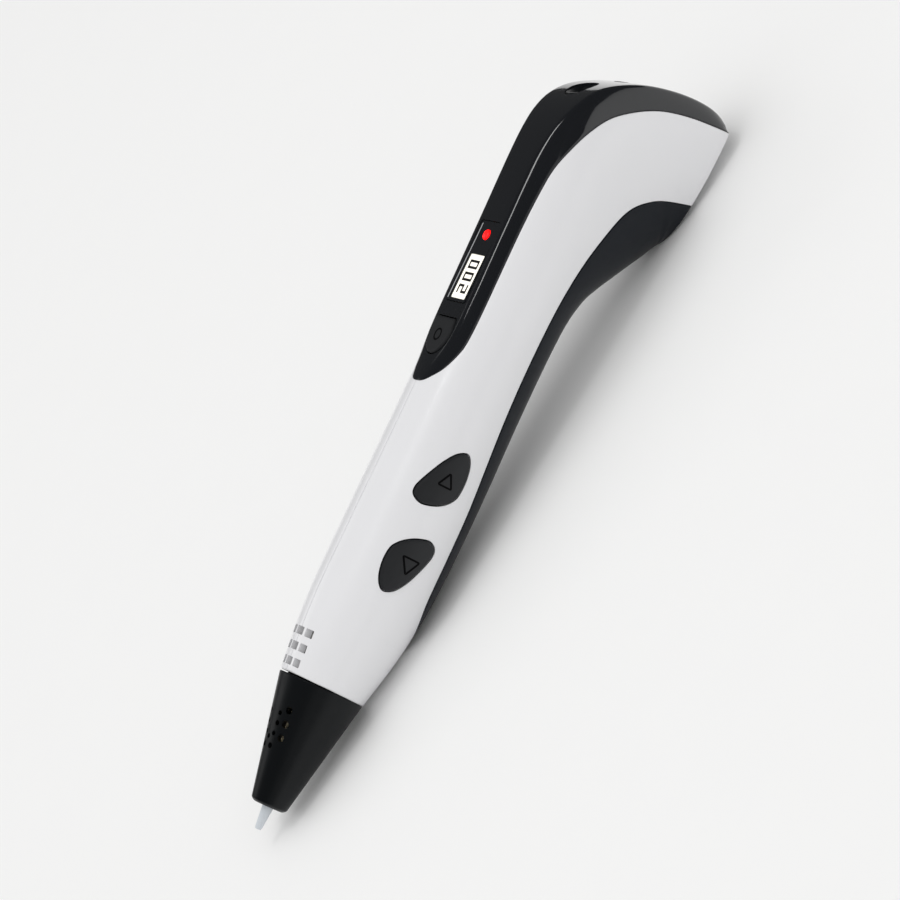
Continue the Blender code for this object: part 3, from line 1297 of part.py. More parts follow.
WHITE = finish_material("white_shell", (0.83, 0.83, 0.84), 0.35)
BLACK = finish_material("black_gloss", (0.012, 0.013, 0.015), 0.12)
STRIP_BLACK = finish_material("black_satin", (0.02, 0.022, 0.026), 0.4)
CONE_BLACK = finish_material("cone_black", (0.02, 0.02, 0.021), 0.35)
BUTTON_GREY = finish_material("button_grey", (0.045, 0.046, 0.05), 0.55)
CERAMIC = finish_material("ceramic", (0.72, 0.74, 0.76), 0.4)
STEEL = finish_material("steel", (0.56, 0.57, 0.58), 0.3, 1.0)
SWITCH_STEEL = finish_material("switch_steel", (0.6, 0.6, 0.6), 0.4, 1.0)
BRASS = finish_material("brass", (0.72, 0.53, 0.25), 0.3, 1.0)
SLEEVE = finish_material("heater_sleeve", (0.75, 0.68, 0.5), 0.8)
GLASS_BEAD = finish_material("glass_bead", (0.6, 0.3, 0.12), 0.2)
NYLON = finish_material("nylon", (0.8, 0.8, 0.78), 0.5)
PTFE = finish_material("ptfe", (0.88, 0.89, 0.9), 0.4)
FRAME_GREY = finish_material("frame_grey", (0.16, 0.17, 0.18), 0.5)
ARM_GREY = finish_material("arm_grey", (0.3, 0.31, 0.33), 0.5)
BOARD_GREEN = finish_material("board_green", (0.02, 0.16, 0.07), 0.4)
CHIP_BLACK = finish_material("chip_black", (0.03, 0.03, 0.03), 0.5)
SMOKED = finish_material("smoked_window", (0.01, 0.01, 0.012), 0.05)
DISPLAY_DARK = finish_material("display_glass", (0.05, 0.05, 0.05), 0.1)
RED_LIGHT = finish_material("red_light", (0.8, 0.02, 0.02), 0.3)

PEN = empty("pen", (0, 0, 0))
shells(PEN)
case_screws(PEN)
top_panel(PEN)
part(strip_skin(), STRIP_BLACK, PEN)
part(head_base(), WHITE, PEN)
nose(PEN)
filament_path(PEN)
drive(PEN)
motor(PEN)
feed_frame(PEN)
idler(PEN)
side_controls(PEN)
mode_control(PEN)
display(PEN)
main_board(PEN)
power_jack(PEN)
cooling_fan(PEN)
lay_down(PEN)
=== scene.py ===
"""The looks of a hand-held 3-D drawing pen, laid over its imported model.

Sizes are in millimetres of the pen's own frame: +X from the nozzle's tip to the head, +Z out of
the display panel, and the feed and retract buttons on the -Y side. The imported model's joints give
that frame's place on the table.
"""
import json
import math

import bmesh
import bpy
import numpy as np
from bpy.props import FloatProperty, FloatVectorProperty, PointerProperty, StringProperty
from mathutils import Matrix, Vector
from mathutils.bvhtree import BVHTree
from mathutils.interpolate import poly_3d_calc


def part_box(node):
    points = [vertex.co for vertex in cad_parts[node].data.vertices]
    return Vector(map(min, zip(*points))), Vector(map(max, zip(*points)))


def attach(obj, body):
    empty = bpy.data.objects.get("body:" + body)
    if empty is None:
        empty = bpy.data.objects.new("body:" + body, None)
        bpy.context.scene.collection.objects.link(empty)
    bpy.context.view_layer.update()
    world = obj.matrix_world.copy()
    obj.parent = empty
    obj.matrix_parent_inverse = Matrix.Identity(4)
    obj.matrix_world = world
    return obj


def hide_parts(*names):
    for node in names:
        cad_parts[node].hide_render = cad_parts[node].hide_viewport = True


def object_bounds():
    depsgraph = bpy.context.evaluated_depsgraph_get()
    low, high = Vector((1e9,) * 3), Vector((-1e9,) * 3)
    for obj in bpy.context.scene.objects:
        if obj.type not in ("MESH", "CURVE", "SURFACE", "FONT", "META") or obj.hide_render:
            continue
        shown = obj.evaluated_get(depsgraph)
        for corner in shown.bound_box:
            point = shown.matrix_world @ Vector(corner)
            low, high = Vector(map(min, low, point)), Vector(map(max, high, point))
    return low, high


bl_info = {
    "name": "3-D pen looks",
    "version": (1, 0, 0),
    "blender": (4, 5, 0),
    "location": "3D View > Sidebar > Pen",
    "description": "Builds the skins, controls, finishes and studio of a 3-D drawing pen",
    "category": "Object",
}

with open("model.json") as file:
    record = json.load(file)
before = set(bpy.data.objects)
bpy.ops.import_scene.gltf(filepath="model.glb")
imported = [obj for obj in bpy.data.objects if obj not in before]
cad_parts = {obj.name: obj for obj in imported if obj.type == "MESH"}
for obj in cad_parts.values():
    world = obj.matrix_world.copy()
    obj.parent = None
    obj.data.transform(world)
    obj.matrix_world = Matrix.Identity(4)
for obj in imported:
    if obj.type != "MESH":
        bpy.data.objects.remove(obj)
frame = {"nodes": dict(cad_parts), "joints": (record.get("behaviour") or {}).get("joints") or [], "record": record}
CAD_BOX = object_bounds()
JOINTS = {joint["name"]: joint for joint in frame["joints"]}

MM = 0.001
# Angles past which edges look sharp: on whole pieces, on flat cut ones and round cut openings.
SHARP_EDGE = math.radians(38.0)
FLAT_SHARP_EDGE = math.radians(20.0)
CUT_EDGE = math.radians(25.0)
# How close to the uncut skin, in metres, a corner still counts as lying on it.
ON_SKIN = 2e-6

# Places along the pen
NOSE_END = 33.3
HEAD = 101.5
PEN_LENGTH = 184.0
TIP_Z = 0.2
NOSE_RISE = math.radians(1.6)
DRIVE_X = HEAD + 46.5
DRIVE_Z = -4.775
FEED_BUTTON = (NOSE_END + 30.9, 2.1)
RETRACT_BUTTON = (NOSE_END + 51.0, 2.45)
SIDE_BUTTONS = (("feed", FEED_BUTTON, 1.0), ("retract", RETRACT_BUTTON, -1.0))
MODE_BUTTON_X = HEAD + 10.9
WINDOW_X = HEAD + 28.4
WINDOW_HALF_LENGTH = 9.5
WINDOW_HALF_WIDTH = 4.4
LIT_LOW = (WINDOW_X - 8.8, -3.95)
LIT_HIGH = (WINDOW_X + 1.7, 2.4)
LED_X = HEAD + 34.8
LED_Y = -0.4
LED_R = 1.2
JACK_X = PEN_LENGTH - 4.7
JACK_Z = -3.5
INLET_AXIS = Vector((0.755, 0.0, 0.656)).normalized()
INLET_MOUTH = Vector((HEAD + 73.1, 0.0, 7.1))

# Each rib: top x and z, bottom x and z, half width, depth of the widest point, rise of the side's
# own oval above the flat top, fullness of the underside, half width of the flat top. The next two
# numbers are the columns of the rise and of the flat top.
RISE, FLAT = 6, 8
NOSE_RIBS = [
    (0.0, 10.85, 0.0, -8.65, 9.75, 9.75, 0, 2.0, 0),
    (4.7, 11.40, 4.7, -9.70, 10.55, 10.55, 0, 2.0, 0),
    (10.7, 12.00, 10.7, -11.00, 11.5, 11.5, 0, 2.0, 0),
    (16.7, 12.40, 16.7, -11.95, 12.15, 12.15, 0, 2.0, 0),
    (22.7, 12.58, 22.7, -12.60, 12.6, 12.6, 0, 2.0, 0),
    (28.7, 12.62, 28.7, -13.00, 12.82, 12.82, 0, 2.0, 0),
]
HEAD_RIBS = [
    (-26.5, 12.68, -26.5, -13.22, 12.95, 12.95, 0, 2.0, 0),
    (-13.5, 12.70, -13.5, -13.10, 12.9, 12.9, 0, 2.0, 0),
    (-5.5, 12.76, -5.5, -12.85, 12.8, 12.8, 0, 2.0, 0),
    (0.0, 12.80, 0.0, -12.70, 12.75, 12.75, 0, 2.0, 0),
    (1.5, 12.74, 1.5, -12.66, 12.75, 12.7, 0.05, 2.0, 1.2),
    (4.0, 12.56, 4.0, -12.60, 12.75, 12.6, 0.22, 2.0, 3.0),
    (8.0, 12.38, 8.0, -12.55, 12.78, 12.4, 0.4, 2.0, 4.8),
    (13.0, 12.36, 13.0, -12.50, 12.82, 12.35, 0.48, 2.0, 5.8),
    (20.0, 12.50, 20.0, -12.60, 12.87, 12.4, 0.45, 2.0, 6.0),
    (27.0, 12.65, 26.0, -12.95, 12.87, 12.6, 0.4, 2.02, 6.0),
    (34.0, 12.83, 31.5, -14.20, 12.8, 12.8, 0.35, 2.06, 6.0),
    (41.0, 13.00, 35.5, -16.20, 12.7, 13.0, 0.4, 2.1, 6.0),
    (48.0, 13.20, 39.0, -18.30, 12.6, 13.2, 0.5, 2.15, 6.0),
    (54.5, 13.25, 42.0, -20.10, 12.5, 13.5, 0.7, 2.2, 6.2),
    (60.5, 12.80, 44.4, -21.60, 12.35, 14.0, 1.1, 2.2, 7.0),
    (65.5, 11.70, 46.4, -22.80, 12.15, 14.5, 1.5, 2.25, 8.1),
    (70.0, 9.80, 47.8, -23.60, 11.95, 15.0, 1.7, 2.25, 8.8),
    (73.5, 7.10, 48.7, -24.10, 11.75, 15.0, 2.0, 2.25, 9.0),
    (76.6, 2.90, 49.4, -24.50, 11.5, 14.5, 3.2, 2.25, 8.9),
    (79.2, -2.30, 50.0, -24.80, 11.2, 13.5, 5.0, 2.25, 8.7),
    (81.0, -8.00, 50.4, -25.05, 10.9, 12.0, 6.0, 2.3, 8.4),
    (82.1, -13.50, 50.7, -25.20, 10.6, 10.0, 6.5, 2.3, 8.1),
    (82.5, -18.60, 50.9, -25.32, 10.35, 8.0, 7.0, 2.3, 7.8),
    (82.1, -22.30, 51.0, -25.42, 10.15, 6.0, 7.0, 2.3, 7.5),
    (81.0, -24.70, 51.0, -25.48, 10.0, 4.0, 7.0, 2.3, 7.2),
    (79.4, -25.50, 51.0, -25.50, 9.8, 2.5, 7.0, 2.3, 7.0),
]
# The last ribs, where the top outline turns down over the head's end.
HEAD_END_RIBS = 8
# Side view of the line between the black panel's band and the white side, from the panel's tip.
BAND_LINE = [(-0.4, 13.0), (0.3, 12.6), (2.0, 12.0), (4.5, 11.1), (8.5, 10.15), (11.5, 9.8),
             (18.5, 9.75), (38.5, 10.0), (48.5, 9.9), (53.5, 9.5), (58.5, 8.2), (63.5, 6.2),
             (68.5, 3.0), (72.4, -1.6), (75.3, -6.6), (77.0, -11.5), (78.1, -16.5),
             (78.8, -21.5), (79.3, -25.9)]
# Side view of the line between the white side and the black underside, from its front tip.
STRIP_FRONT = [(13.2, -12.2), (14.2, -11.5), (17.2, -10.9), (21.7, -9.0), (26.7, -7.8),
               (36.7, -7.4)]
STRIP_BACK = [(-21.5, -7.0), (-11.5, -6.0), (-1.5, -5.1), (8.5, -4.5), (18.5, -4.35),
              (28.5, -4.7), (38.5, -6.0), (48.5, -8.6), (53.5, -10.9), (56.8, -14.4),
              (59.0, -18.5), (61.5, -26.5)]

FEED_LEAF = [(-6.85, 1.95), (-5.85, 0.0), (-3.5, -1.7), (-0.7, -3.05), (2.55, -4.3),
             (4.4, -4.7), (5.65, -4.4), (6.5, -3.25), (6.6, -1.85), (5.85, 0.5), (4.7, 2.35),
             (3.3, 3.65), (1.75, 4.35), (-1.0, 4.5), (-3.8, 4.1), (-5.95, 3.2)]
# Length over which the panel's crease softens towards its front tip.
TIP_SOFTENING = 9.0
# The panel's crown across its flat face and the bulge of its band, as shares of their widths.
CROWN = 0.012
BAND_BULGE = 0.05
# Width of the panel's band at the far end of the head.
END_BAND = 0.4
# The shells' front rim is bevelled by this much.
FRONT_CHAMFER = 0.22
# Spacing of the ribs: between far ones, at a tip, its growth away from a tip, and just past one.
COARSE_STEP = 1.5
FINE_STEP = 0.1
STEP_GROWTH = 0.22
TIP_STEPS = (0.012, 0.03, 0.055)
# The barrel under the side buttons: radius and height of its axis.
BARREL_R = 12.94
BARREL_Z = -0.25
CAP_DEPTH = 4.0
CAP_ROUNDING = 0.45
MODE_TOP = 12.81
MODE_ROUNDING = 0.35
MODE_RING_R = 1.3
MARK_LIFT = 0.03
MARK_DEPTH = 0.12
# Nose cone and nozzle
CONE_START = 5.3
CONE_FRONT_R = 4.0
CONE_BACK_R = 9.75
CONE_WALL = 1.4
SCREWS = [(NOSE_END + 17.5, -4.4), (HEAD - 4.0, 5.6), (HEAD + 63.1, -4.9), (HEAD + 63.5, -21.3)]
# Cone perforations: distance from the tip, angle from the top, radius.
CONE_SIDE_HOLES = [(17.5, 12, 0.65), (20.2, 13, 0.55), (22.5, 15, 0.6), (24.7, 15, 0.55),
                   (19.8, 32, 0.8), (22.9, 32, 0.85), (25.9, 31, 0.8)]
CONE_HOLES = [(19.3, 0, 0.55)] + [(x, sign * angle, radius)
                                  for x, angle, radius in CONE_SIDE_HOLES for sign in (-1, 1)]
VENT_ROWS = (1.3, 4.7, 8.1)
VENT_COLUMNS = ((-1.25, 1.25), (1.85, 3.85), (-3.85, -1.85))
VENT_LENGTH = 1.8
GAUZE_ALONG = (0.6, 11.2)
GAUZE_ANGLE = 0.75
GAUZE_GAP = 0.12
GAUZE_THICKNESS = 0.12
WELL_R = 2.1
COAT_ROUGHNESS = 0.06

# Studio
SENSOR = 36.0
PEN_MIDDLE = np.array([92.0, 0.0, 5.0])
# Light of the sky, as it lights surfaces and as glossy ones reflect it.
SKY = 0.68
GLOSSY_SKY = 0.06
# Name, place, aim, width, depth, power, and whether the lamp shows in glossy surfaces.
LAMPS = [("overhead", (0.0, -0.1, 1.5), (0.0, 0.0, 0.0), 2.4, 2.4, 9.0, False),
         ("glint", (0.1, -0.25, 1.5), (0.0, 0.0, 0.0), 0.3, 0.3, 1.6, True),
         ("front", (-0.5, -1.6, 0.7), (0.0, 0.0, 0.02), 1.3, 0.8, 1.4, True),
         ("behind", (-0.6, 1.7, 1.2), (0.0, 0.3, 0.0), 1.2, 0.8, 3.0, True)]


# ---------------------------------------------------------------------------------------------
# Settings


class PenBodySettings(bpy.types.PropertyGroup):
    wall: FloatProperty(name="Wall", description="Thickness of the moulded skins, in millimetres",
                        default=1.6, min=0.8, max=3.0)
    seam: FloatProperty(name="Seam", description="Half the gap between the two shells",
                        default=0.03, min=0.01, max=0.3)
    joint: FloatProperty(name="Parting", description="Half the gap at the black parts' edges",
                         default=0.06, min=0.01, max=0.3)
    edge: FloatProperty(name="Edge", description="Rounding of the moulded parting edges",
                        default=0.35, min=0.05, max=0.8)
    crease: FloatProperty(name="Crease", description="Rounding between the panel's face and band",
                          default=0.75, min=0.2, max=3.0)


class PenControlSettings(bpy.types.PropertyGroup):
    proud: FloatProperty(name="Proud", description="How far the side buttons stand out",
                         default=0.4, min=0.0, max=1.0)
    gap: FloatProperty(name="Gap", description="Gap around each button", default=0.28, min=0.1,
                       max=0.6)
    mark: FloatProperty(name="Mark", description="Line width of the printed marks", default=0.4,
                        min=0.1, max=0.8)
    readout: StringProperty(name="Readout", description="Temperature on the display",
                            default="200")


class PenColourSettings(bpy.types.PropertyGroup):
    shell: FloatVectorProperty(name="Shell", description="White side shells", subtype="COLOR",
                               size=3, default=(0.80, 0.80, 0.815), min=0.0, max=1.0)
    panel: FloatVectorProperty(name="Panel", description="Glossy black panel", subtype="COLOR",
                               size=3, default=(0.008, 0.009, 0.011), min=0.0, max=1.0)
    strip: FloatVectorProperty(name="Underside", description="Satin black underside",
                               subtype="COLOR", size=3, default=(0.005, 0.007, 0.011), min=0.0,
                               max=1.0)
    cone: FloatVectorProperty(name="Cone", description="Black nose cone", subtype="COLOR",
                              size=3, default=(0.004, 0.005, 0.006), min=0.0, max=1.0)
    button: FloatVectorProperty(name="Buttons", description="Soft dark grey buttons",
                                subtype="COLOR", size=3, default=(0.016, 0.017, 0.019), min=0.0,
                                max=1.0)
    tip: FloatVectorProperty(name="Nozzle", description="Pale ceramic nozzle", subtype="COLOR",
                             size=3, default=(0.62, 0.66, 0.70), min=0.0, max=1.0)
    lit: FloatVectorProperty(name="Lit display", description="Light of the display",
                             subtype="COLOR", size=3, default=(0.93, 0.90, 0.80), min=0.0,
                             max=1.0)
    light: FloatVectorProperty(name="Status light", description="Colour of the status light",
                               subtype="COLOR", size=3, default=(1.0, 0.002, 0.002), min=0.0,
                               max=1.0)


class PenStageSettings(bpy.types.PropertyGroup):
    roll: FloatProperty(name="Roll", description="Lean of the pen in the view",
                        subtype="ANGLE", default=math.radians(25.6))
    swing: FloatProperty(name="Swing", description="How far the head swings away from the camera",
                         subtype="ANGLE", default=math.radians(4.5))
    turn: FloatProperty(name="Turn", description="Turn of the panel towards the camera",
                        subtype="ANGLE", default=math.radians(28.0))
    distance: FloatProperty(name="Distance", description="Camera distance", subtype="DISTANCE",
                            unit="LENGTH", default=0.95)
    lens: FloatProperty(name="Lens", description="Focal length in millimetres", default=176.3)
    across: FloatProperty(name="Across", default=-0.2128,
                          description="Nozzle tip, in view widths to the right of the middle")
    rise: FloatProperty(name="Rise", default=-0.4217,
                        description="Nozzle tip, in view widths above the middle")
    floor: FloatVectorProperty(name="Floor", description="Colour of the studio floor",
                               subtype="COLOR", size=3, default=(0.90, 0.90, 0.895), min=0.0,
                               max=1.0)


def pen_frame():
    """The pen's own frame on the table, from the axes of its worm, fan and drive shaft."""
    along = Vector(JOINTS["worm_spin"]["axis"])
    up = Vector(JOINTS["fan_spin"]["axis"])
    turn = Matrix((along, up.cross(along), up)).transposed()
    drive = Vector(JOINTS["drive_spin"]["pos_m"])
    origin = drive - turn @ Vector((DRIVE_X, 0.0, DRIVE_Z)) * MM
    return Matrix.Translation(origin) @ turn.to_4x4()


PEN = pen_frame()
NOSE = PEN @ Matrix.Translation((0.0, 0.0, TIP_Z * MM)) @ Matrix.Rotation(-NOSE_RISE, 4, "Y")
INLET = PEN @ Matrix.Translation(INLET_MOUTH * MM) @ INLET_AXIS.to_track_quat(
    "X", "Z").to_matrix().to_4x4()


# ---------------------------------------------------------------------------------------------
# Meshes


def link(item):
    bpy.context.scene.collection.objects.link(item)
    return item


def finish_mesh(name, bm, place):
    """A piece from a bmesh drawn in millimetres, put in its place with smooth faces."""
    bmesh.ops.transform(bm, matrix=place @ Matrix.Scale(MM, 4), verts=bm.verts)
    bmesh.ops.recalc_face_normals(bm, faces=bm.faces)
    if bm.calc_volume(signed=True) < 0:
        bmesh.ops.reverse_faces(bm, faces=bm.faces)
    mesh = bpy.data.meshes.new(name)
    bm.to_mesh(mesh)
    bm.free()
    mesh.shade_smooth()
    mesh.set_sharp_from_angle(angle=SHARP_EDGE)
    return link(bpy.data.objects.new(name, mesh))


def bridge(bm, first, second, closed=True):
    """Faces between two rows of points."""
    total = len(first)
    for k in range(total if closed else total - 1):
        after = (k + 1) % total
        bm.faces.new((first[k], first[after], second[after], second[k]))


def rows_solid(name, rows, place):
    """A closed solid through rings of points, each ring as long as the last."""
    bm = bmesh.new()
    rings = [[bm.verts.new(point) for point in row] for row in rows]
    for first, second in zip(rings, rings[1:]):
        bridge(bm, first, second)
    for ring in (rings[0], rings[-1]):
        middle = bm.verts.new(sum((vert.co for vert in ring), Vector()) / len(ring))
        for k, vert in enumerate(ring):
            bm.faces.new((vert, ring[(k + 1) % len(ring)], middle))
    return finish_mesh(name, bm, place)


def fillet(points, radius, steps=4):
    """A closed flat outline with each corner rounded by a short curve."""
    result = []
    total = len(points)
    for k, point in enumerate(points):
        here = np.array(point, float)
        before, after = np.array(points[k - 1], float), np.array(points[(k + 1) % total], float)
        reach_in = min(radius, 0.45 * np.linalg.norm(before - here))
        reach_out = min(radius, 0.45 * np.linalg.norm(after - here))
        start = here + (before - here) / np.linalg.norm(before - here) * reach_in
        end = here + (after - here) / np.linalg.norm(after - here) * reach_out
        for step in range(steps + 1):
            t = step / steps
            result.append((1 - t) ** 2 * start + 2 * t * (1 - t) * here + t ** 2 * end)
    return result


def turned(name, profile, place, steps=96, axis="X", rounding=0.0):
    """A closed (along, radius) profile turned about an axis. Points at radius 0 become poles."""
    if rounding:
        profile = fillet(profile, rounding)
    bm = bmesh.new()
    directions = {"X": ((1, 0, 0), (0, 1, 0), (0, 0, 1)), "Y": ((0, 1, 0), (0, 0, 1), (1, 0, 0)),
                  "Z": ((0, 0, 1), (1, 0, 0), (0, 1, 0))}[axis]
    axis_v, first_v, second_v = (Vector(direction) for direction in directions)
    rings = []
    for along, radius in profile:
        along, radius = float(along), float(radius)
        if radius < 1e-6:
            rings.append([bm.verts.new(axis_v * along)])
            continue
        rings.append([bm.verts.new(axis_v * along + radius * (
            first_v * math.cos(2 * math.pi * k / steps)
            + second_v * math.sin(2 * math.pi * k / steps))) for k in range(steps)])
    for first, second in zip(rings, rings[1:] + rings[:1]):
        if len(first) == len(second) == 1:
            continue
        for k in range(steps):
            corners = {first[k % len(first)]: 0, first[(k + 1) % len(first)]: 0,
                       second[(k + 1) % len(second)]: 0, second[k % len(second)]: 0}
            bm.faces.new(list(corners))
    return finish_mesh(name, bm, place)


def prism(name, outline, low, high, place, plane="XY"):
    """A flat outline given thickness square to its plane."""
    def spot(point, depth):
        first, second = point
        if plane == "XY":
            return Vector((first, second, depth))
        return Vector((first, depth, second))

    return rows_solid(name, [[spot(point, low) for point in outline],
                             [spot(point, high) for point in outline]], place)


def rounded_box(low, high, radius):
    """The outline of a rectangle with round corners."""
    corners = [(low[0], low[1]), (high[0], low[1]), (high[0], high[1]), (low[0], high[1])]
    return fillet(corners, radius, 5)


def smooth_path(points, count):
    """Evenly numbered points on a Catmull-Rom curve through the given points."""
    points = [np.array(point, float) for point in points]
    padded = [2 * points[0] - points[1]] + points + [2 * points[-1] - points[-2]]
    return [catmull(padded, step / (count - 1) * (len(points) - 1), len(points) - 2)
            for step in range(count)]


def catmull(padded, where, last):
    """A point on the curve through padded points, at a place counted in points."""
    index = min(int(where), last)
    t = where - index
    p0, p1, p2, p3 = padded[index:index + 4]
    return 0.5 * (2 * p1 + (p2 - p0) * t + (2 * p0 - 5 * p1 + 4 * p2 - p3) * t ** 2
                  + (3 * p1 - p0 - 3 * p2 + p3) * t ** 3)


def closed_path(points, count):
    """A closed smooth curve through the given points."""
    points = [np.array(point, float) for point in points]
    padded = [points[-1]] + points + points[:2]
    return [catmull(padded, step / count * len(points), len(points) - 1)
            for step in range(count)]


def grown(outline, margin):
    """The outline moved outwards by a margin, square to its own edge."""
    total = len(outline)
    area = sum(outline[k - 1][0] * outline[k][1] - outline[k][0] * outline[k - 1][1]
               for k in range(total))
    sign = 1.0 if area > 0 else -1.0
    result = []
    for k in range(total):
        run = np.array(outline[(k + 1) % total]) - np.array(outline[k - 1])
        normal = np.array([run[1], -run[0]]) / np.hypot(*run)
        result.append(np.array(outline[k]) + sign * margin * normal)
    return result


def mesh_from(item):
    """The mesh an object shows once its modifiers have run, with its modifiers taken off."""
    graph = bpy.context.evaluated_depsgraph_get()
    mesh = bpy.data.meshes.new_from_object(item.evaluated_get(graph))
    item.modifiers.clear()
    item.data = mesh
    return item


def carve(piece, cutters, curved=True):
    """Cut openings in a piece and keep a curved one's own curvature round them."""
    uncut = piece.data.copy()
    for cutter in cutters:
        modifier = piece.modifiers.new("Opening", "BOOLEAN")
        modifier.object = cutter
        modifier.solver = "EXACT"
    mesh_from(piece)
    for cutter in cutters:
        bpy.data.objects.remove(cutter, do_unlink=True)
    if curved:
        keep_curvature(piece.data, uncut)
    else:
        piece.data.set_sharp_from_angle(angle=FLAT_SHARP_EDGE)
    return piece


def keep_curvature(mesh, uncut):
    """Give a cut skin the corner normals of the uncut one wherever it still follows it."""
    source = [vert.co for vert in uncut.vertices]
    source_normals = [vert.normal for vert in uncut.vertices]
    polygons = [tuple(polygon.vertices) for polygon in uncut.polygons]
    tree = BVHTree.FromPolygons(source, polygons)
    normals = [corner.vector.copy() for corner in mesh.corner_normals]
    sharp = math.cos(CUT_EDGE)
    for polygon in mesh.polygons:
        for loop in polygon.loop_indices:
            spot = mesh.vertices[mesh.loops[loop].vertex_index].co
            near, normal, index, distance = tree.find_nearest(spot)
            if index is None or distance > ON_SKIN or normal.dot(polygon.normal) < sharp:
                normals[loop] = polygon.normal.copy()
                continue
            corners = polygons[index]
            weights = poly_3d_calc([source[k] for k in corners], near)
            blended = sum((source_normals[k] * w for k, w in zip(corners, weights)), Vector())
            if blended.normalized().dot(polygon.normal) > sharp:
                normals[loop] = blended.normalized()
    mesh.normals_split_custom_set(normals)


# ---------------------------------------------------------------------------------------------
# The skin's sections


RIBS = np.array([(top_x + start, top_z, low_x + start, low_z, *rest)
                 for start, group in ((NOSE_END, NOSE_RIBS), (HEAD, HEAD_RIBS))
                 for top_x, top_z, low_x, low_z, *rest in group])
RIB_AT = np.concatenate(([0.0], np.cumsum(np.hypot(np.diff(RIBS[:, 0]), np.diff(RIBS[:, 1])))))
BAND_CURVE = np.array(smooth_path([(x + HEAD, z) for x, z in BAND_LINE], 300))
STRIP_CURVE = np.array(smooth_path([(x + NOSE_END, z) for x, z in STRIP_FRONT]
                                   + [(x + HEAD, z) for x, z in STRIP_BACK], 300))


def rib(where):
    """The rib at a distance along the top outline, blended smoothly between the drawn ones."""
    index = int(np.clip(np.searchsorted(RIB_AT, where) - 1, 0, len(RIB_AT) - 2))
    span = RIB_AT[index + 1] - RIB_AT[index]
    t = (where - RIB_AT[index]) / span

    def slope(k):
        low, high = max(k - 1, 0), min(k + 1, len(RIB_AT) - 1)
        return (RIBS[high] - RIBS[low]) / (RIB_AT[high] - RIB_AT[low])

    start, end = RIBS[index], RIBS[index + 1]
    value = ((2 * t ** 3 - 3 * t ** 2 + 1) * start
             + (t ** 3 - 2 * t ** 2 + t) * span * slope(index)
             + (3 * t ** 2 - 2 * t ** 3) * end
             + (t ** 3 - t ** 2) * span * slope(index + 1))
    for column in (RISE, FLAT):
        value[column] = max(value[column], 0.0)
    return value


def depth_of(line, data):
    """How far down a rib a parting line crosses it, or None where it does not."""
    top = data[0:2]
    run = data[2:4] - top
    length = np.hypot(*run)
    offset = line - top
    side = offset @ np.array([-run[1], run[0]]) / length
    depth = offset @ run / length
    for k in np.nonzero(np.diff(side > 0))[0]:
        share = side[k] / (side[k] - side[k + 1])
        found = depth[k] + share * (depth[k + 1] - depth[k])
        if 0.0 < found < length:
            return found
    return None


class Section:
    """One rib's cross-section: depth below the top outline against half width."""

    def __init__(self, where):
        data = rib(where)
        (self.top_x, self.top_z, self.low_x, self.low_z, self.half, self.widest, self.rise,
         self.fullness, self.flat) = data
        self.height = math.hypot(self.top_x - self.low_x, self.top_z - self.low_z)
        self.band = depth_of(BAND_CURVE, data)
        self.strip = depth_of(STRIP_CURVE, data)
        if where >= RIB_AT[-1] - 1e-6:
            self.band = min(self.band or END_BAND, END_BAND)
        self.top_angle = 0.0
        if self.band is not None:
            upper = self.widest + self.rise
            self.top_angle = math.acos(np.clip((self.widest - self.band) / upper, -1.0, 1.0))
        self.low_angle = math.pi / 2
        if self.strip is not None:
            share = np.clip((self.strip - self.widest) / (self.height - self.widest), 0.0, 1.0)
            self.low_angle = math.asin(share ** (self.fullness / 2))

    def side(self, angle, wall=0.0):
        """The oval side: angle 0 at its top, 90 degrees at the widest, 180 at the bottom."""
        if angle <= math.pi / 2:
            upper = self.widest + self.rise - wall
            return np.array([(self.half - wall) * math.sin(angle),
                             self.widest - upper * math.cos(angle)])
        turn = angle - math.pi / 2
        power = 2 / self.fullness
        reach = self.height - self.widest - wall
        return np.array([(self.half - wall) * max(math.cos(turn), 0.0) ** power,
                         self.widest + reach * max(math.sin(turn), 0.0) ** power])

    def side_step(self, angle, distance):
        """The angle that lies a short distance further along the oval."""
        for _ in range(6):
            here, there = self.side(angle), self.side(angle + math.copysign(0.01, distance))
            angle += distance / 6 / (math.dist(here, there) / 0.01)
        return angle

    def place(self, point, sign=1.0):
        share = point[1] / self.height
        return Vector((self.top_x + (self.low_x - self.top_x) * share, sign * point[0],
                       self.top_z + (self.low_z - self.top_z) * share))


def rounded_strip(outer, inner, radius, start=True, end=True):
    """Round the corners between a strip's outer points and its two rims."""
    result = [np.array(point) for point in outer]
    for flag, order in ((start, 1), (end, -1)):
        if not flag:
            continue
        points = result[::order]
        rim = (inner[0] if order == 1 else inner[-1]) - points[0]
        reach = min(radius, 0.3 * np.linalg.norm(points[1] - points[0]) + 0.12)
        corner = points[0]
        along = corner + (points[1] - corner) / np.linalg.norm(points[1] - corner) * reach
        down = corner + rim / np.linalg.norm(rim) * reach
        arc = [(1 - t) ** 2 * down + 2 * t * (1 - t) * corner + t ** 2 * along
               for t in (0.0, 0.25, 0.5, 0.75, 1.0)]
        points = arc + points[1:]
        result = points[::order]
    return result


def first_where(name):
    """Where the panel or the underside strip begins."""
    low, high = 0.0, RIB_AT[-1] * 0.6
    for _ in range(40):
        middle = (low + high) / 2
        if getattr(Section(middle), name) is None:
            low = middle
        else:
            high = middle
    return high


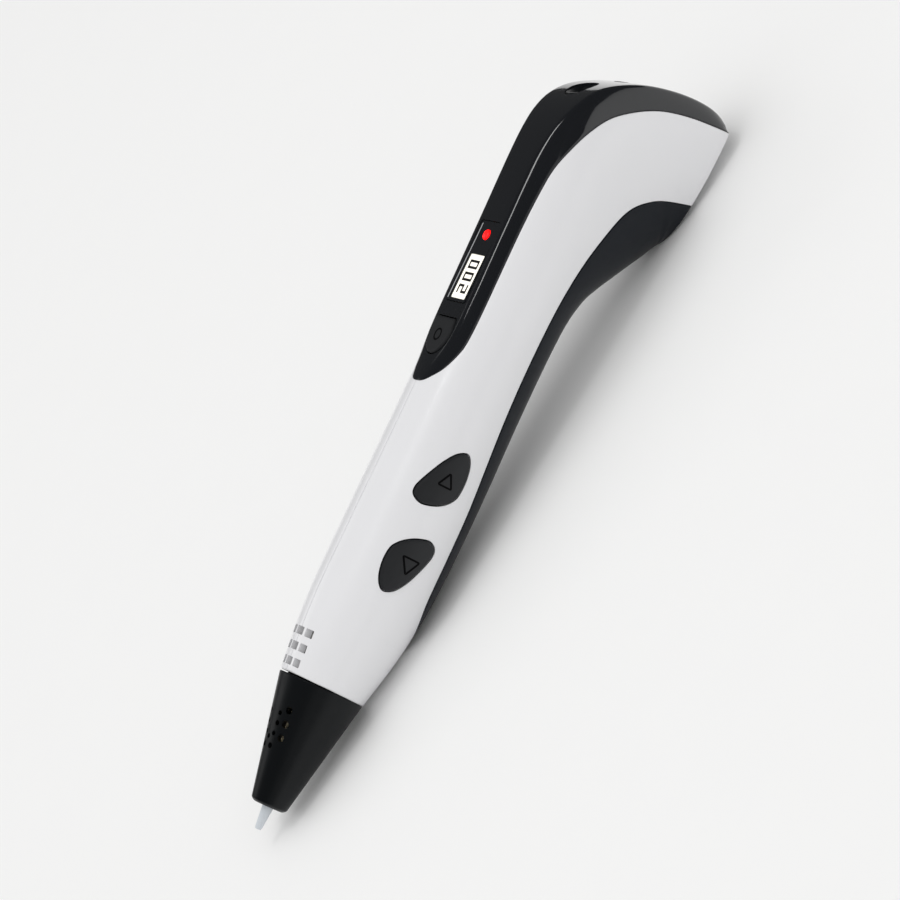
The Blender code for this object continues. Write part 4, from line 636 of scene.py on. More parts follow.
def stations():
    """Rib places along the skin, close together where the panel and the strip begin."""
    tips = [first_where("band"), first_where("strip")]
    places = [0.0, 0.25]
    while places[-1] < RIB_AT[-1] - 0.6:
        near = min(abs(places[-1] - tip) for tip in tips)
        step = min(COARSE_STEP, FINE_STEP + STEP_GROWTH * near)
        for tip in tips:
            if places[-1] < tip - 1e-4 < places[-1] + step:
                step = tip - places[-1]
        places.append(places[-1] + step)
    extra = [tip + k for tip in tips for k in TIP_STEPS]
    return sorted(places + extra + [RIB_AT[-1] - 0.3, RIB_AT[-1]]), tips


def skin(name, rows):
    """A closed wall lofted through rows of (outer points, inner points)."""
    bm = bmesh.new()
    outer = [[bm.verts.new(point) for point in row[0]] for row in rows]
    inner = [[bm.verts.new(point) for point in row[1]] for row in rows]
    for grid in (outer, inner):
        for first, second in zip(grid, grid[1:]):
            bridge(bm, first, second, closed=False)
    for end in (0, -1):
        bridge(bm, [row[end] for row in outer], [row[end] for row in inner], closed=False)
        count = len(outer[end])
        inner_count = len(inner[end])
        stretch = [inner[end][round(k * (inner_count - 1) / (count - 1))] for k in range(count)]
        for k in range(count - 1):
            corners = {outer[end][k]: 0, outer[end][k + 1]: 0, stretch[k + 1]: 0, stretch[k]: 0}
            bm.faces.new(list(corners))
    return finish_mesh(name, bm, PEN)


def side_rows(section, body, count=22, inner_count=12):
    """Half widths and depths down one white side, rounded at both parting edges."""
    joint, wall, seam = body.joint, body.wall, body.seam
    start = math.asin(seam / (section.half - wall))
    if section.top_angle > 0.0:
        start = max(section.side_step(section.top_angle, joint), start)
    end = math.pi - math.asin((seam / (section.half - wall)) ** (section.fullness / 2))
    if section.strip is not None:
        end = min(section.side_step(math.pi / 2 + section.low_angle, -joint), end)
    outer = [section.side(start + (end - start) * k / count) for k in range(count + 1)]
    inner = [section.side(start + (end - start) * k / inner_count, wall)
             for k in range(inner_count + 1)]
    return rounded_strip(outer, inner, body.edge), inner


def shell_piece(name, sign, body):
    """One white side shell, lofted from its front rim to the head's end."""
    places, _ = stations()
    rows = []
    for index, where in enumerate(places):
        section = Section(where)
        outer, inner = side_rows(section, body)
        if index == 0:
            middle = np.array([0.0, section.widest])
            outer = [point + (middle - point) / np.linalg.norm(middle - point) * FRONT_CHAMFER
                     for point in outer]
        rows.append(([section.place(point, sign) for point in outer],
                     [section.place(point, sign) for point in inner]))
    return skin(name, rows)


def panel_half(section, body, flat_count=4, band_count=7):
    """Half of the panel's section: its flat face, the rounded crease and the side band."""
    wall = body.wall
    edge = section.side(section.top_angle)
    root = section.side(section.top_angle, wall)
    crown = CROWN * section.flat
    flat = np.array([min(section.flat, edge[0] * 0.85), crown])
    flat_root = np.array([min(max(flat[0] - 0.3 * wall, 0.02), root[0] * 0.8), crown + wall])
    run = edge - flat
    length = np.hypot(*run)
    bulge = BAND_BULGE * np.array([run[1], -run[0]])
    soft = float(np.clip(1.0 - (section.top_x - HEAD) / TIP_SOFTENING, 0.0, 1.0))
    crease = min(body.crease + 2.4 * soft, (0.35 + 0.5 * soft) * flat[0],
                 (0.3 + 0.3 * soft) * length)
    outer = [np.array([(flat[0] - crease) * k / flat_count, crown * (k / flat_count) ** 2])
             for k in range(flat_count)]
    start = np.array([flat[0] - crease, crown])
    share = crease / length
    end = flat + run * share + bulge * math.sin(math.pi * share)
    outer += [(1 - t) ** 2 * start + 2 * t * (1 - t) * flat + t ** 2 * end
              for t in np.linspace(0.0, 1.0, 7)]
    last = max(1 - body.joint / length, 0.3)
    for k in range(1, band_count + 1):
        t = share + (last - share) * k / band_count
        outer.append(flat + run * t + bulge * math.sin(math.pi * t))
    inner = [np.array([flat_root[0] * k / 3, wall + crown * (k / 3) ** 2]) for k in range(3)]
    inner += [flat_root + (root - flat_root) * last * t for t in (0.0, 0.35, 0.7, 1.0)]
    return rounded_strip(outer, inner, body.edge, start=False), inner


def under_half(section, body, count=14, inner_count=8):
    """Half of the underside's section, from its edge to the middle."""
    start = min(section.side_step(math.pi / 2 + section.low_angle, body.joint), math.pi - 0.02)
    outer = [section.side(start + (math.pi - start) * k / count) for k in range(count + 1)]
    inner = [section.side(start + (math.pi - start) * k / inner_count, body.wall)
             for k in range(inner_count + 1)]
    return rounded_strip(outer, inner, body.edge, end=False), inner


def mirrored(section, half, middle_first):
    """A whole row from a half row whose middle point is its first or its last."""
    if middle_first:
        half = half[::-1]
    left = [section.place(point, -1.0) for point in half[:-1]]
    middle = section.place((0.0, half[-1][1]))
    return left + [middle] + [section.place(point, 1.0) for point in reversed(half[:-1])]


def middle_piece(name, kind, body):
    """The panel or the underside strip, lofted from its tip to its end."""
    places, tips = stations()
    tip = tips[0] if kind == "band" else tips[1]
    rows = []
    for where in places:
        section = Section(where)
        if where < tip + 0.02 or getattr(section, kind) is None:
            continue
        outer, inner = (panel_half if kind == "band" else under_half)(section, body)
        rows.append((mirrored(section, outer, kind == "band"),
                     mirrored(section, inner, kind == "band")))
    return skin(name, rows)


def surface_z(x):
    """Height of the panel's middle line at a place along the pen, short of the head's end."""
    return float(np.interp(x, RIBS[:-HEAD_END_RIBS, 0], RIBS[:-HEAD_END_RIBS, 1]))


# ---------------------------------------------------------------------------------------------
# Finishes


def value_group(name, inputs, outputs):
    """An empty shader group with named sockets; inputs are (name, kind, default)."""
    group = bpy.data.node_groups.new(name, "ShaderNodeTree")
    for label, kind, default in inputs:
        socket = group.interface.new_socket(label, in_out="INPUT", socket_type=kind)
        if default is not None:
            socket.default_value = default
    for label, kind in outputs:
        group.interface.new_socket(label, in_out="OUTPUT", socket_type=kind)
    nodes = group.nodes
    return group, nodes.new("NodeGroupInput"), nodes.new("NodeGroupOutput"), nodes, group.links


def preset(node, **values):
    """Set a node's inputs by name; an underscore stands for a space in the name."""
    for name, value in values.items():
        node.inputs[name.replace("_", " ")].default_value = value
    return node


def math_node(nodes, links, operation, *values):
    node = nodes.new("ShaderNodeMath")
    node.operation = operation
    for socket, value in zip(node.inputs, values):
        if isinstance(value, (int, float)):
            socket.default_value = value
        else:
            links.new(value, socket)
    return node.outputs[0]


def moulded_grain():
    """Height of a fine spark-eroded grain with a faint long sink-mark waviness."""
    group, start, end, nodes, links = value_group(
        "Moulded grain", [("Vector", "NodeSocketVector", None),
                          ("Scale", "NodeSocketFloat", 3000.0),
                          ("Wave", "NodeSocketFloat", 0.3)], [("Height", "NodeSocketFloat")])
    fine = preset(nodes.new("ShaderNodeTexNoise"), Detail=3.0)
    links.new(start.outputs["Vector"], fine.inputs["Vector"])
    links.new(start.outputs["Scale"], fine.inputs["Scale"])
    pits = nodes.new("ShaderNodeTexVoronoi")
    links.new(start.outputs["Vector"], pits.inputs["Vector"])
    links.new(start.outputs["Scale"], pits.inputs["Scale"])
    wave = preset(nodes.new("ShaderNodeTexNoise"), Scale=55.0)
    links.new(start.outputs["Vector"], wave.inputs["Vector"])
    rough = math_node(nodes, links, "MULTIPLY", pits.outputs["Distance"], 0.5)
    total = math_node(nodes, links, "ADD", fine.outputs["Fac"], rough)
    swell = math_node(nodes, links, "MULTIPLY", wave.outputs["Fac"], start.outputs["Wave"])
    links.new(math_node(nodes, links, "ADD", total, swell), end.inputs["Height"])
    return group


def handling_marks():
    """Roughness that changes with handling: soft smudges and hairline scuffs."""
    group, start, end, nodes, links = value_group(
        "Handling marks", [("Vector", "NodeSocketVector", None),
                           ("Roughness", "NodeSocketFloat", 0.3),
                           ("Smudges", "NodeSocketFloat", 0.06),
                           ("Scuffs", "NodeSocketFloat", 0.05)],
        [("Roughness", "NodeSocketFloat")])
    blot = preset(nodes.new("ShaderNodeTexNoise"), Scale=90.0, Detail=4.0, Distortion=0.6)
    links.new(start.outputs["Vector"], blot.inputs["Vector"])
    hair = preset(nodes.new("ShaderNodeTexNoise"), Scale=700.0, Detail=2.0)
    stretch = preset(nodes.new("ShaderNodeMapping"), Scale=(0.12, 1.0, 1.0),
                     Rotation=(0.0, 0.0, 0.35))
    links.new(start.outputs["Vector"], stretch.inputs["Vector"])
    links.new(stretch.outputs["Vector"], hair.inputs["Vector"])
    smudge = math_node(nodes, links, "MULTIPLY_ADD", blot.outputs["Fac"],
                       start.outputs["Smudges"], start.outputs["Roughness"])
    line = math_node(nodes, links, "GREATER_THAN", hair.outputs["Fac"], 0.64)
    scuff = math_node(nodes, links, "MULTIPLY", line, start.outputs["Scuffs"])
    links.new(math_node(nodes, links, "ADD", smudge, scuff), end.inputs["Roughness"])
    return group


def tint_variation():
    """A colour that drifts a little over the surface, as resin and pigment do."""
    group, start, end, nodes, links = value_group(
        "Tint variation", [("Vector", "NodeSocketVector", None),
                           ("Colour", "NodeSocketColor", (0.8, 0.8, 0.8, 1.0)),
                           ("Scale", "NodeSocketFloat", 60.0),
                           ("Amount", "NodeSocketFloat", 0.05)], [("Colour", "NodeSocketColor")])
    noise = preset(nodes.new("ShaderNodeTexNoise"), Detail=5.0)
    links.new(start.outputs["Vector"], noise.inputs["Vector"])
    links.new(start.outputs["Scale"], noise.inputs["Scale"])
    swing = math_node(nodes, links, "SUBTRACT", noise.outputs["Fac"], 0.5)
    factor = math_node(nodes, links, "MULTIPLY_ADD", swing, start.outputs["Amount"], 1.0)
    scaled = nodes.new("ShaderNodeVectorMath")
    scaled.operation = "SCALE"
    links.new(start.outputs["Colour"], scaled.inputs[0])
    links.new(factor, scaled.inputs["Scale"])
    links.new(scaled.outputs[0], end.inputs["Colour"])
    return group


GROUPS = {}


def shared_group(material, make, place, **values):
    """A shared value group placed in a material with its own values."""
    if make not in GROUPS:
        GROUPS[make] = make()
    node = material.node_tree.nodes.new("ShaderNodeGroup")
    node.node_tree = GROUPS[make]
    material.node_tree.links.new(place, node.inputs["Vector"])
    return preset(node, **values).outputs[0]


def finish(name, colour, roughness, grain=3000.0, depth=0.00001, metallic=0.0, smudges=0.06,
           scuffs=0.04, tint=0.05, tint_scale=60.0, coat=0.0, wave=0.3, stretch=None,
           specular=0.5):
    """A node-based finish: drifting colour, handled roughness and a fine moulded grain."""
    material = bpy.data.materials.new(name)
    material.use_nodes = True
    nodes, links = material.node_tree.nodes, material.node_tree.links
    shader = preset(nodes["Principled BSDF"], Metallic=metallic, Specular_IOR_Level=specular,
                    Coat_Weight=coat, Coat_Roughness=COAT_ROUGHNESS)
    place = nodes.new("ShaderNodeTexCoord").outputs["Object"]
    if stretch is not None:
        mapping = preset(nodes.new("ShaderNodeMapping"), Scale=stretch)
        links.new(place, mapping.inputs["Vector"])
        place = mapping.outputs["Vector"]
    tinted = shared_group(material, tint_variation, place, Colour=(*colour, 1.0),
                          Scale=tint_scale, Amount=tint)
    links.new(tinted, shader.inputs["Base Color"])
    marks = shared_group(material, handling_marks, place, Roughness=roughness, Smudges=smudges,
                         Scuffs=scuffs)
    links.new(marks, shader.inputs["Roughness"])
    texture = shared_group(material, moulded_grain, place, Scale=grain, Wave=wave)
    bump = preset(nodes.new("ShaderNodeBump"), Distance=depth, Strength=1.0)
    links.new(texture, bump.inputs["Height"])
    links.new(bump.outputs["Normal"], shader.inputs["Normal"])
    return material


def glowing(name, colour, strength):
    """A lit surface with a faint unevenness in its light."""
    material = finish(name, colour, 0.3, tint=0.02)
    nodes, links = material.node_tree.nodes, material.node_tree.links
    shader = preset(nodes["Principled BSDF"], Emission_Strength=strength)
    place = nodes.new("ShaderNodeTexCoord").outputs["Object"]
    tinted = shared_group(material, tint_variation, place, Colour=(*colour, 1.0), Scale=150.0,
                          Amount=0.12)
    links.new(tinted, shader.inputs["Emission Color"])
    return material


FINISHES = {}


def carried(slot):
    """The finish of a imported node's material slot."""
    if slot in FINISHES:
        return FINISHES[slot]
    colours = bpy.context.scene.pen_colours
    makers = {
        "white_shell": lambda: finish("White moulding", colours.shell, 0.26, 2600.0, 0.000004,
                                      tint=0.03, smudges=0.08, coat=0.15),
        "black_gloss": lambda: finish("Piano black", colours.panel, 0.05, 1500.0, 0.0000006,
                                      smudges=0.06, scuffs=0.05, coat=0.6, wave=0.6),
        "black_satin": lambda: finish("Satin black", colours.strip, 0.3, 4200.0, 0.000012,
                                      specular=0.22),
        "cone_black": lambda: finish("Cone black", colours.cone, 0.33, 3800.0, 0.000014,
                                     specular=0.22),
        "button_grey": lambda: finish("Soft grey", colours.button, 0.5, 5200.0, 0.00002,
                                      tint=0.12, tint_scale=300.0, specular=0.35),
        "ceramic": lambda: finish("Glazed ceramic", colours.tip, 0.3, 2500.0, 0.000006,
                                  tint=0.07, tint_scale=400.0, coat=0.2),
        "steel": lambda: finish("Turned steel", (0.56, 0.57, 0.58), 0.24, 2600.0, 0.000006,
                                metallic=1.0, stretch=(1.0, 6.0, 6.0)),
        "switch_steel": lambda: finish("Pressed steel", (0.6, 0.6, 0.61), 0.36, 1800.0,
                                       0.000008, metallic=1.0),
        "brass": lambda: finish("Cut brass", (0.72, 0.52, 0.24), 0.27, 2400.0, 0.000006,
                                metallic=1.0, tint=0.1, tint_scale=200.0),
        "heater_sleeve": lambda: finish("Woven sleeve", (0.71, 0.62, 0.42), 0.75, 1400.0,
                                        0.00008, tint=0.25, tint_scale=900.0),
        "glass_bead": lambda: finish("Amber bead", (0.55, 0.27, 0.09), 0.12, 900.0, 0.000004,
                                     coat=0.5),
        "nylon": lambda: finish("Natural nylon", (0.74, 0.74, 0.71), 0.42, 1800.0, 0.00001),
        "ptfe": lambda: finish("White PTFE", (0.84, 0.85, 0.86), 0.32, 1600.0, 0.000006),
        "frame_grey": lambda: finish("Filled nylon", (0.13, 0.135, 0.145), 0.5, 1500.0,
                                     0.00003, tint=0.2, tint_scale=800.0),
        "arm_grey": lambda: finish("Cast alloy", (0.36, 0.37, 0.39), 0.42, 1300.0, 0.00003,
                                   metallic=0.9),
        "board_green": lambda: finish("Solder mask", (0.012, 0.12, 0.05), 0.3, 1000.0,
                                      0.00002, tint=0.3, tint_scale=600.0),
        "chip_black": lambda: finish("Black moulding", (0.022, 0.022, 0.024), 0.5, 2800.0,
                                     0.00002),
        "smoked_window": lambda: finish("Smoked acrylic", colours.panel, 0.03, 1500.0,
                                        0.0000004, smudges=0.05, coat=0.5),
        "display_glass": lambda: finish("Display glass", (0.03, 0.03, 0.035), 0.08, 900.0,
                                        0.000001),
        "red_light": lambda: glowing("Red light", colours.light, 1.6),
    }
    FINISHES[slot] = makers[slot]()
    return FINISHES[slot]


def dress(piece, slot, body, *nodes, material=None):
    """Give a piece its finish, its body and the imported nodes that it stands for."""
    piece.data.materials.clear()
    piece.data.materials.append(material or carried(slot))
    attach(piece, body)
    if nodes:
        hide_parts(*nodes)
    return piece


# ---------------------------------------------------------------------------------------------
# Repeats


def repeat_tree():
    """A tree that puts a shape on every point of a mesh, turned and sized by its attributes."""
    tree = bpy.data.node_groups.new("Repeat on points", "GeometryNodeTree")
    tree.interface.new_socket("Geometry", in_out="INPUT", socket_type="NodeSocketGeometry")
    tree.interface.new_socket("Shape", in_out="INPUT", socket_type="NodeSocketObject")
    tree.interface.new_socket("Finish", in_out="INPUT", socket_type="NodeSocketMaterial")
    tree.interface.new_socket("Geometry", in_out="OUTPUT", socket_type="NodeSocketGeometry")
    nodes, links = tree.nodes, tree.links
    start, end = nodes.new("NodeGroupInput"), nodes.new("NodeGroupOutput")
    shape = nodes.new("GeometryNodeObjectInfo")
    shape.transform_space = "ORIGINAL"
    links.new(start.outputs["Shape"], shape.inputs["Object"])
    placed = nodes.new("GeometryNodeInstanceOnPoints")
    links.new(start.outputs["Geometry"], placed.inputs["Points"])
    links.new(shape.outputs["Geometry"], placed.inputs["Instance"])
    for label, socket in (("turn", "Rotation"), ("size", "Scale")):
        named = nodes.new("GeometryNodeInputNamedAttribute")
        named.data_type = "FLOAT_VECTOR"
        named.inputs["Name"].default_value = label
        if socket == "Rotation":
            euler = nodes.new("FunctionNodeEulerToRotation")
            links.new(named.outputs["Attribute"], euler.inputs[0])
            links.new(euler.outputs[0], placed.inputs[socket])
        else:
            links.new(named.outputs["Attribute"], placed.inputs[socket])
    real = nodes.new("GeometryNodeRealizeInstances")
    links.new(placed.outputs["Instances"], real.inputs["Geometry"])
    painted = nodes.new("GeometryNodeSetMaterial")
    links.new(real.outputs["Geometry"], painted.inputs["Geometry"])
    links.new(start.outputs["Finish"], painted.inputs["Material"])
    links.new(painted.outputs["Geometry"], end.inputs["Geometry"])
    return tree


def repeated(name, shape, places, material=None):
    """One mesh of a shape at many (matrix, size) places, made by the repeat tree."""
    tree = bpy.data.node_groups.get("Repeat on points") or repeat_tree()
    mesh = bpy.data.meshes.new(name)
    mesh.from_pydata([matrix.translation for matrix, _ in places], [], [])
    for label, values in (("turn", [tuple(matrix.to_euler()) for matrix, _ in places]),
                          ("size", [size for _, size in places])):
        attribute = mesh.attributes.new(label, "FLOAT_VECTOR", "POINT")
        for index, value in enumerate(values):
            attribute.data[index].vector = value
    item = link(bpy.data.objects.new(name, mesh))
    modifier = item.modifiers.new("Repeat", "NODES")
    modifier.node_group = tree
    sockets = {entry.name: entry.identifier for entry in tree.interface.items_tree
               if entry.in_out == "INPUT"}
    modifier[sockets["Shape"]] = shape
    modifier[sockets["Finish"]] = material
    mesh_from(item)
    bpy.data.objects.remove(shape, do_unlink=True)
    return item


def unit_box(radius=0.12):
    """A unit box with its upright edges rounded, standing on its middle."""
    outline = rounded_box((-0.5, -0.5), (0.5, 0.5), radius)
    return prism("slot_shape", outline, -500.0, 500.0, Matrix.Scale(1000.0, 4)
                 @ Matrix.Diagonal((1.0, 1.0, 0.001, 1.0)))


def unit_pin(sides=32):
    """A round pin of unit radius and length, standing on its middle."""
    bm = bmesh.new()
    bmesh.ops.create_cone(bm, cap_ends=True, segments=sides, radius1=1.0, radius2=1.0, depth=1.0)
    mesh = bpy.data.meshes.new("pin_shape")
    bm.to_mesh(mesh)
    bm.free()
    return link(bpy.data.objects.new("pin_shape", mesh))


def vent_cutter():
    """Nine windows over the barrel's top behind the cone."""
    places = []
    for row, x in enumerate(VENT_ROWS):
        spread = 1.0 + 0.1 * row
        for inner, outer in VENT_COLUMNS:
            middle = Vector((NOSE_END + x + VENT_LENGTH / 2, (inner + outer) / 2 * spread, 11.0))
            matrix = PEN @ Matrix.Translation(middle * MM)
            places.append((matrix, Vector((VENT_LENGTH, (outer - inner) * spread, 12.0)) * MM))
    return repeated("vent_windows", unit_box(), places)


def cone_cutter():
    """The round perforations of the cone, as one cutter."""
    places = []
    for x, angle, radius in CONE_HOLES:
        turn = Matrix.Rotation(-math.radians(angle), 4, "X")
        spot = turn @ Vector((x, 0.0, 7.5))
        matrix = NOSE @ Matrix.Translation(spot * MM) @ turn
        places.append((matrix, Vector((radius, radius, 8.0)) * MM))
    return repeated("cone_perforations", unit_pin(), places)


# ---------------------------------------------------------------------------------------------
# Pieces


def leaf(middle, turn):
    """A side button's leaf outline; a turn of -1 gives the same shape turned round."""
    return [np.array([middle[0] + turn * x, middle[1] + turn * z])
            for x, z in closed_path(FEED_LEAF, 120)]


def mode_outline(margin=0.0):
    """The tongue-shaped mode button: straight at its back edge and round at its front."""
    half, nose = 4.7, 6.0
    points = [(MODE_BUTTON_X + 4.2, -half + 0.6), (MODE_BUTTON_X + 4.2, half - 0.6)]
    for k in range(25):
        angle = math.pi * k / 24
        points.append((MODE_BUTTON_X + 1.6 - nose * math.sin(angle), half * math.cos(angle)))
    points = fillet(points, 0.35, 3)
    return grown(points, margin) if margin else points


def barrel_y(z, lift=0.0):
    """The barrel's side surface at a height, raised by a lift."""
    return -math.sqrt(max((BARREL_R + lift) ** 2 - (z - BARREL_Z) ** 2, 0.01))


def side_button(name, middle, turn, controls):
    """A leaf-shaped cap, crowned with the barrel and rounded over at its edge."""
    outline = leaf(middle, turn)
    centre = np.array(middle)
    rows = []

    def ring(scale_in, lift=None, y=None):
        shrunk = grown(outline, -scale_in) if scale_in else outline
        rows.append([Vector((p[0], y if y is not None else barrel_y(p[1], lift), p[1]))
                     for p in shrunk])

    ring(0.0, y=CAP_DEPTH - BARREL_R)
    ring(0.0, lift=controls.proud - CAP_ROUNDING - 0.1)
    for angle in np.linspace(0.0, math.pi / 2, 6):
        ring(CAP_ROUNDING * (1 - math.cos(angle)),
             lift=controls.proud - CAP_ROUNDING + CAP_ROUNDING * math.sin(angle))
    inner = grown(outline, -CAP_ROUNDING)
    for share in (0.9, 0.78, 0.62, 0.45, 0.28, 0.12):
        rows.append([Vector((p[0], barrel_y(p[1], controls.proud), p[1]))
                     for p in (centre + (q - centre) * share for q in inner)])
    return rows_solid(name, rows, PEN)


def subdivided(outline, longest):
    """The same closed outline with points close enough together to follow a curved surface."""
    points = []
    for first, second in zip(outline, outline[1:] + outline[:1]):
        first, second = np.array(first), np.array(second)
        count = max(1, math.ceil(np.linalg.norm(second - first) / longest))
        points += [first + (second - first) * k / count for k in range(count)]
    return points


def printed_loop(name, corners, width, surface, rounding=0.4):
    """A printed line loop that follows a surface: corners are its middle line."""
    outline = subdivided(fillet(corners, rounding, 5), 0.25)
    outer, inner = grown(outline, width / 2), grown(outline, -width / 2)
    bm = bmesh.new()
    rings = []
    for loop, raised in ((outer, -MARK_DEPTH), (outer, MARK_LIFT), (inner, MARK_LIFT),
                         (inner, -MARK_DEPTH)):
        rings.append([bm.verts.new(surface(point, raised)) for point in loop])
    for first, second in zip(rings, rings[1:] + rings[:1]):
        bridge(bm, first, second)
    return finish_mesh(name, bm, PEN)


def on_barrel(proud):
    """The crowned face of a side button, as a surface for printed marks."""
    def surface(point, lift):
        return Vector((point[0], barrel_y(point[1], proud + 0.03 + lift), point[1]))
    return surface


def on_top(height):
    """A level face at a height, as a surface for printed marks."""
    def surface(point, lift):
        return Vector((point[0], point[1], height + lift))
    return surface


SEGMENTS = {"0": "abcdef", "1": "bc", "2": "abged", "3": "abgcd", "4": "fgbc", "5": "afgcd",
            "6": "afgedc", "7": "abc", "8": "abcdefg", "9": "abcdfg"}


def digit_bars(text, low, high, thickness):
    """Seven-segment bars, as pairs of box corners, for a readout that runs along X."""
    (x0, y0), (x1, y1) = low, high
    cell = (x1 - x0) / len(text)
    bars = []
    for index, mark in enumerate(text):
        left = x0 + index * cell + cell * 0.14
        right = x0 + (index + 1) * cell - cell * 0.14
        middle = (y0 + y1) / 2
        t = thickness
        boxes = {"a": ((left, y1 - t), (right, y1)), "d": ((left, y0), (right, y0 + t)),
                 "g": ((left, middle - t / 2), (right, middle + t / 2)),
                 "f": ((left, middle), (left + t, y1)), "b": ((right - t, middle), (right, y1)),
                 "e": ((left, y0), (left + t, middle)), "c": ((right - t, y0), (right, middle))}
        bars += [boxes[key] for key in SEGMENTS.get(mark, "")]
    return bars


def build_shells():
    body, controls = bpy.context.scene.pen_body, bpy.context.scene.pen_controls
    left = shell_piece("shell_left_skin", -1.0, body)
    right = shell_piece("shell_right_skin", 1.0, body)
    openings = [vent_cutter()]
    for name, middle, turn in SIDE_BUTTONS:
        openings.append(prism(f"{name}_opening", grown(leaf(middle, turn), controls.gap), -20.0,
                              -7.0, PEN, "XZ"))
    carve(left, openings)
    wells = [vent_cutter()]
    places = []
    for x, z in SCREWS:
        matrix = PEN @ Matrix.Translation(Vector((x, 12.0, z)) * MM) @ Matrix.Rotation(
            math.pi / 2, 4, "X")
        places.append((matrix, Vector((WELL_R, WELL_R, 8.0)) * MM))
    wells.append(repeated("screw_wells", unit_pin(40), places))
    carve(right, wells)
    dress(left, "white_shell", "body", "shell_left")
    dress(right, "white_shell", "body", "shell_right")


def build_panel():
    body, controls = bpy.context.scene.pen_body, bpy.context.scene.pen_controls
    panel = middle_piece("top_panel_skin", "band", body)
    window = prism("window_opening", rounded_box((WINDOW_X - 9.62, -4.52),
                                                 (WINDOW_X + 9.62, 4.52), 0.8), 5.0, 20.0, PEN)
    mode = prism("mode_opening", mode_outline(controls.gap), 5.0, 20.0, PEN)
    inlet = turned("inlet_opening", [(-6.0, 0.0), (-6.0, 3.85), (6.0, 3.85), (6.0, 0.0)],
                   INLET, 64)
    jack_place = PEN @ Matrix.Translation(Vector((JACK_X, 0.0, JACK_Z)) * MM)
    jack = turned("jack_opening", [(-6.0, 0.0), (-6.0, 3.75), (8.0, 3.75), (8.0, 0.0)],
                  jack_place, 64)
    carve(panel, [window, mode, inlet, jack])
    dress(panel, "black_gloss", "body", "top_panel")


def build_underside():
    strip = middle_piece("underside_skin", "strip", bpy.context.scene.pen_body)
    dress(strip, "black_satin", "body", "underside_cover")


def build_nose():
    """The perforated cone and the stepped ceramic nozzle."""
    end, start = NOSE_END - 0.12, CONE_START
    lip = CONE_BACK_R - 1.6 - 0.3
    slope = (CONE_BACK_R - CONE_FRONT_R) / (NOSE_END - CONE_START)
    profile = [(end + 2.5, lip), (end, lip), (end, CONE_BACK_R - 0.03),
               (start + 0.6, CONE_FRONT_R + slope * 0.6), (start, 3.3), (start, 1.65),
               (start + 1.2, 1.65), (start + 1.8, 2.9), (end - 4.0, 7.5),
               (end - 1.0, lip - CONE_WALL), (end + 2.5, lip - CONE_WALL)]
    cone = turned("nose_cone_skin", profile, NOSE, 144, rounding=0.35)
    carve(cone, [cone_cutter()])
    dress(cone, "cone_black", "body", "nose_cone")
    nozzle = turned("nozzle_tip", [(10.5, 2.4), (7.7, 2.4), (7.7, 1.3), (5.1, 1.25),
                                   (0.6, 0.80), (0.0, 0.62), (0.0, 0.35), (1.2, 0.35),
                                   (2.0, 0.9), (10.5, 0.9)], NOSE, 72, rounding=0.14)
    dress(nozzle, "ceramic", "body", "nozzle")


def build_controls():
    controls = bpy.context.scene.pen_controls
    for name, middle, turn in SIDE_BUTTONS:
        cap = side_button(f"{name}_cap", middle, turn, controls)
        dress(cap, "button_grey", f"{name}_button", f"{name}_button")
    ink = finish("Mark ink", (0.0015, 0.0014, 0.0018), 0.5, 2000.0, 0.000002, specular=0.06)
    for name, (x, z), corners in (
            ("feed", FEED_BUTTON, [(-1.9, -0.4), (1.6, 1.7), (1.6, -2.3)]),
            ("retract", RETRACT_BUTTON, [(1.6, -0.3), (-1.5, 1.3), (-1.5, -1.9)])):
        mark = printed_loop(f"{name}_mark", [(x + along, z + up) for along, up in corners],
                            controls.mark, on_barrel(controls.proud))
        dress(mark, "button_grey", f"{name}_button", material=ink)
    outline = mode_outline()
    middle = np.array([MODE_BUTTON_X, 0.0])
    rows = [[Vector((*p, 9.9)) for p in outline]]
    for angle in np.linspace(0.0, math.pi / 2, 5):
        shrunk = grown(outline, -MODE_ROUNDING * (1 - math.cos(angle)))
        height = MODE_TOP - MODE_ROUNDING + MODE_ROUNDING * math.sin(angle)
        rows.append([Vector((*p, height)) for p in shrunk])
    inner = grown(outline, -MODE_ROUNDING)
    for share in (0.85, 0.6, 0.3):
        rows.append([Vector((*(middle + (p - middle) * share), MODE_TOP)) for p in inner])
    mode = rows_solid("mode_cap", rows, PEN)
    dress(mode, "button_grey", "mode_button", "mode_button")
    ring = [(MODE_BUTTON_X + MODE_RING_R * math.cos(2 * math.pi * k / 12),
             MODE_RING_R * math.sin(2 * math.pi * k / 12)) for k in range(12)]
    mode_mark = printed_loop("mode_mark", ring, controls.mark, on_top(MODE_TOP), rounding=0.3)
    dress(mode_mark, "button_grey", "mode_button", material=ink)


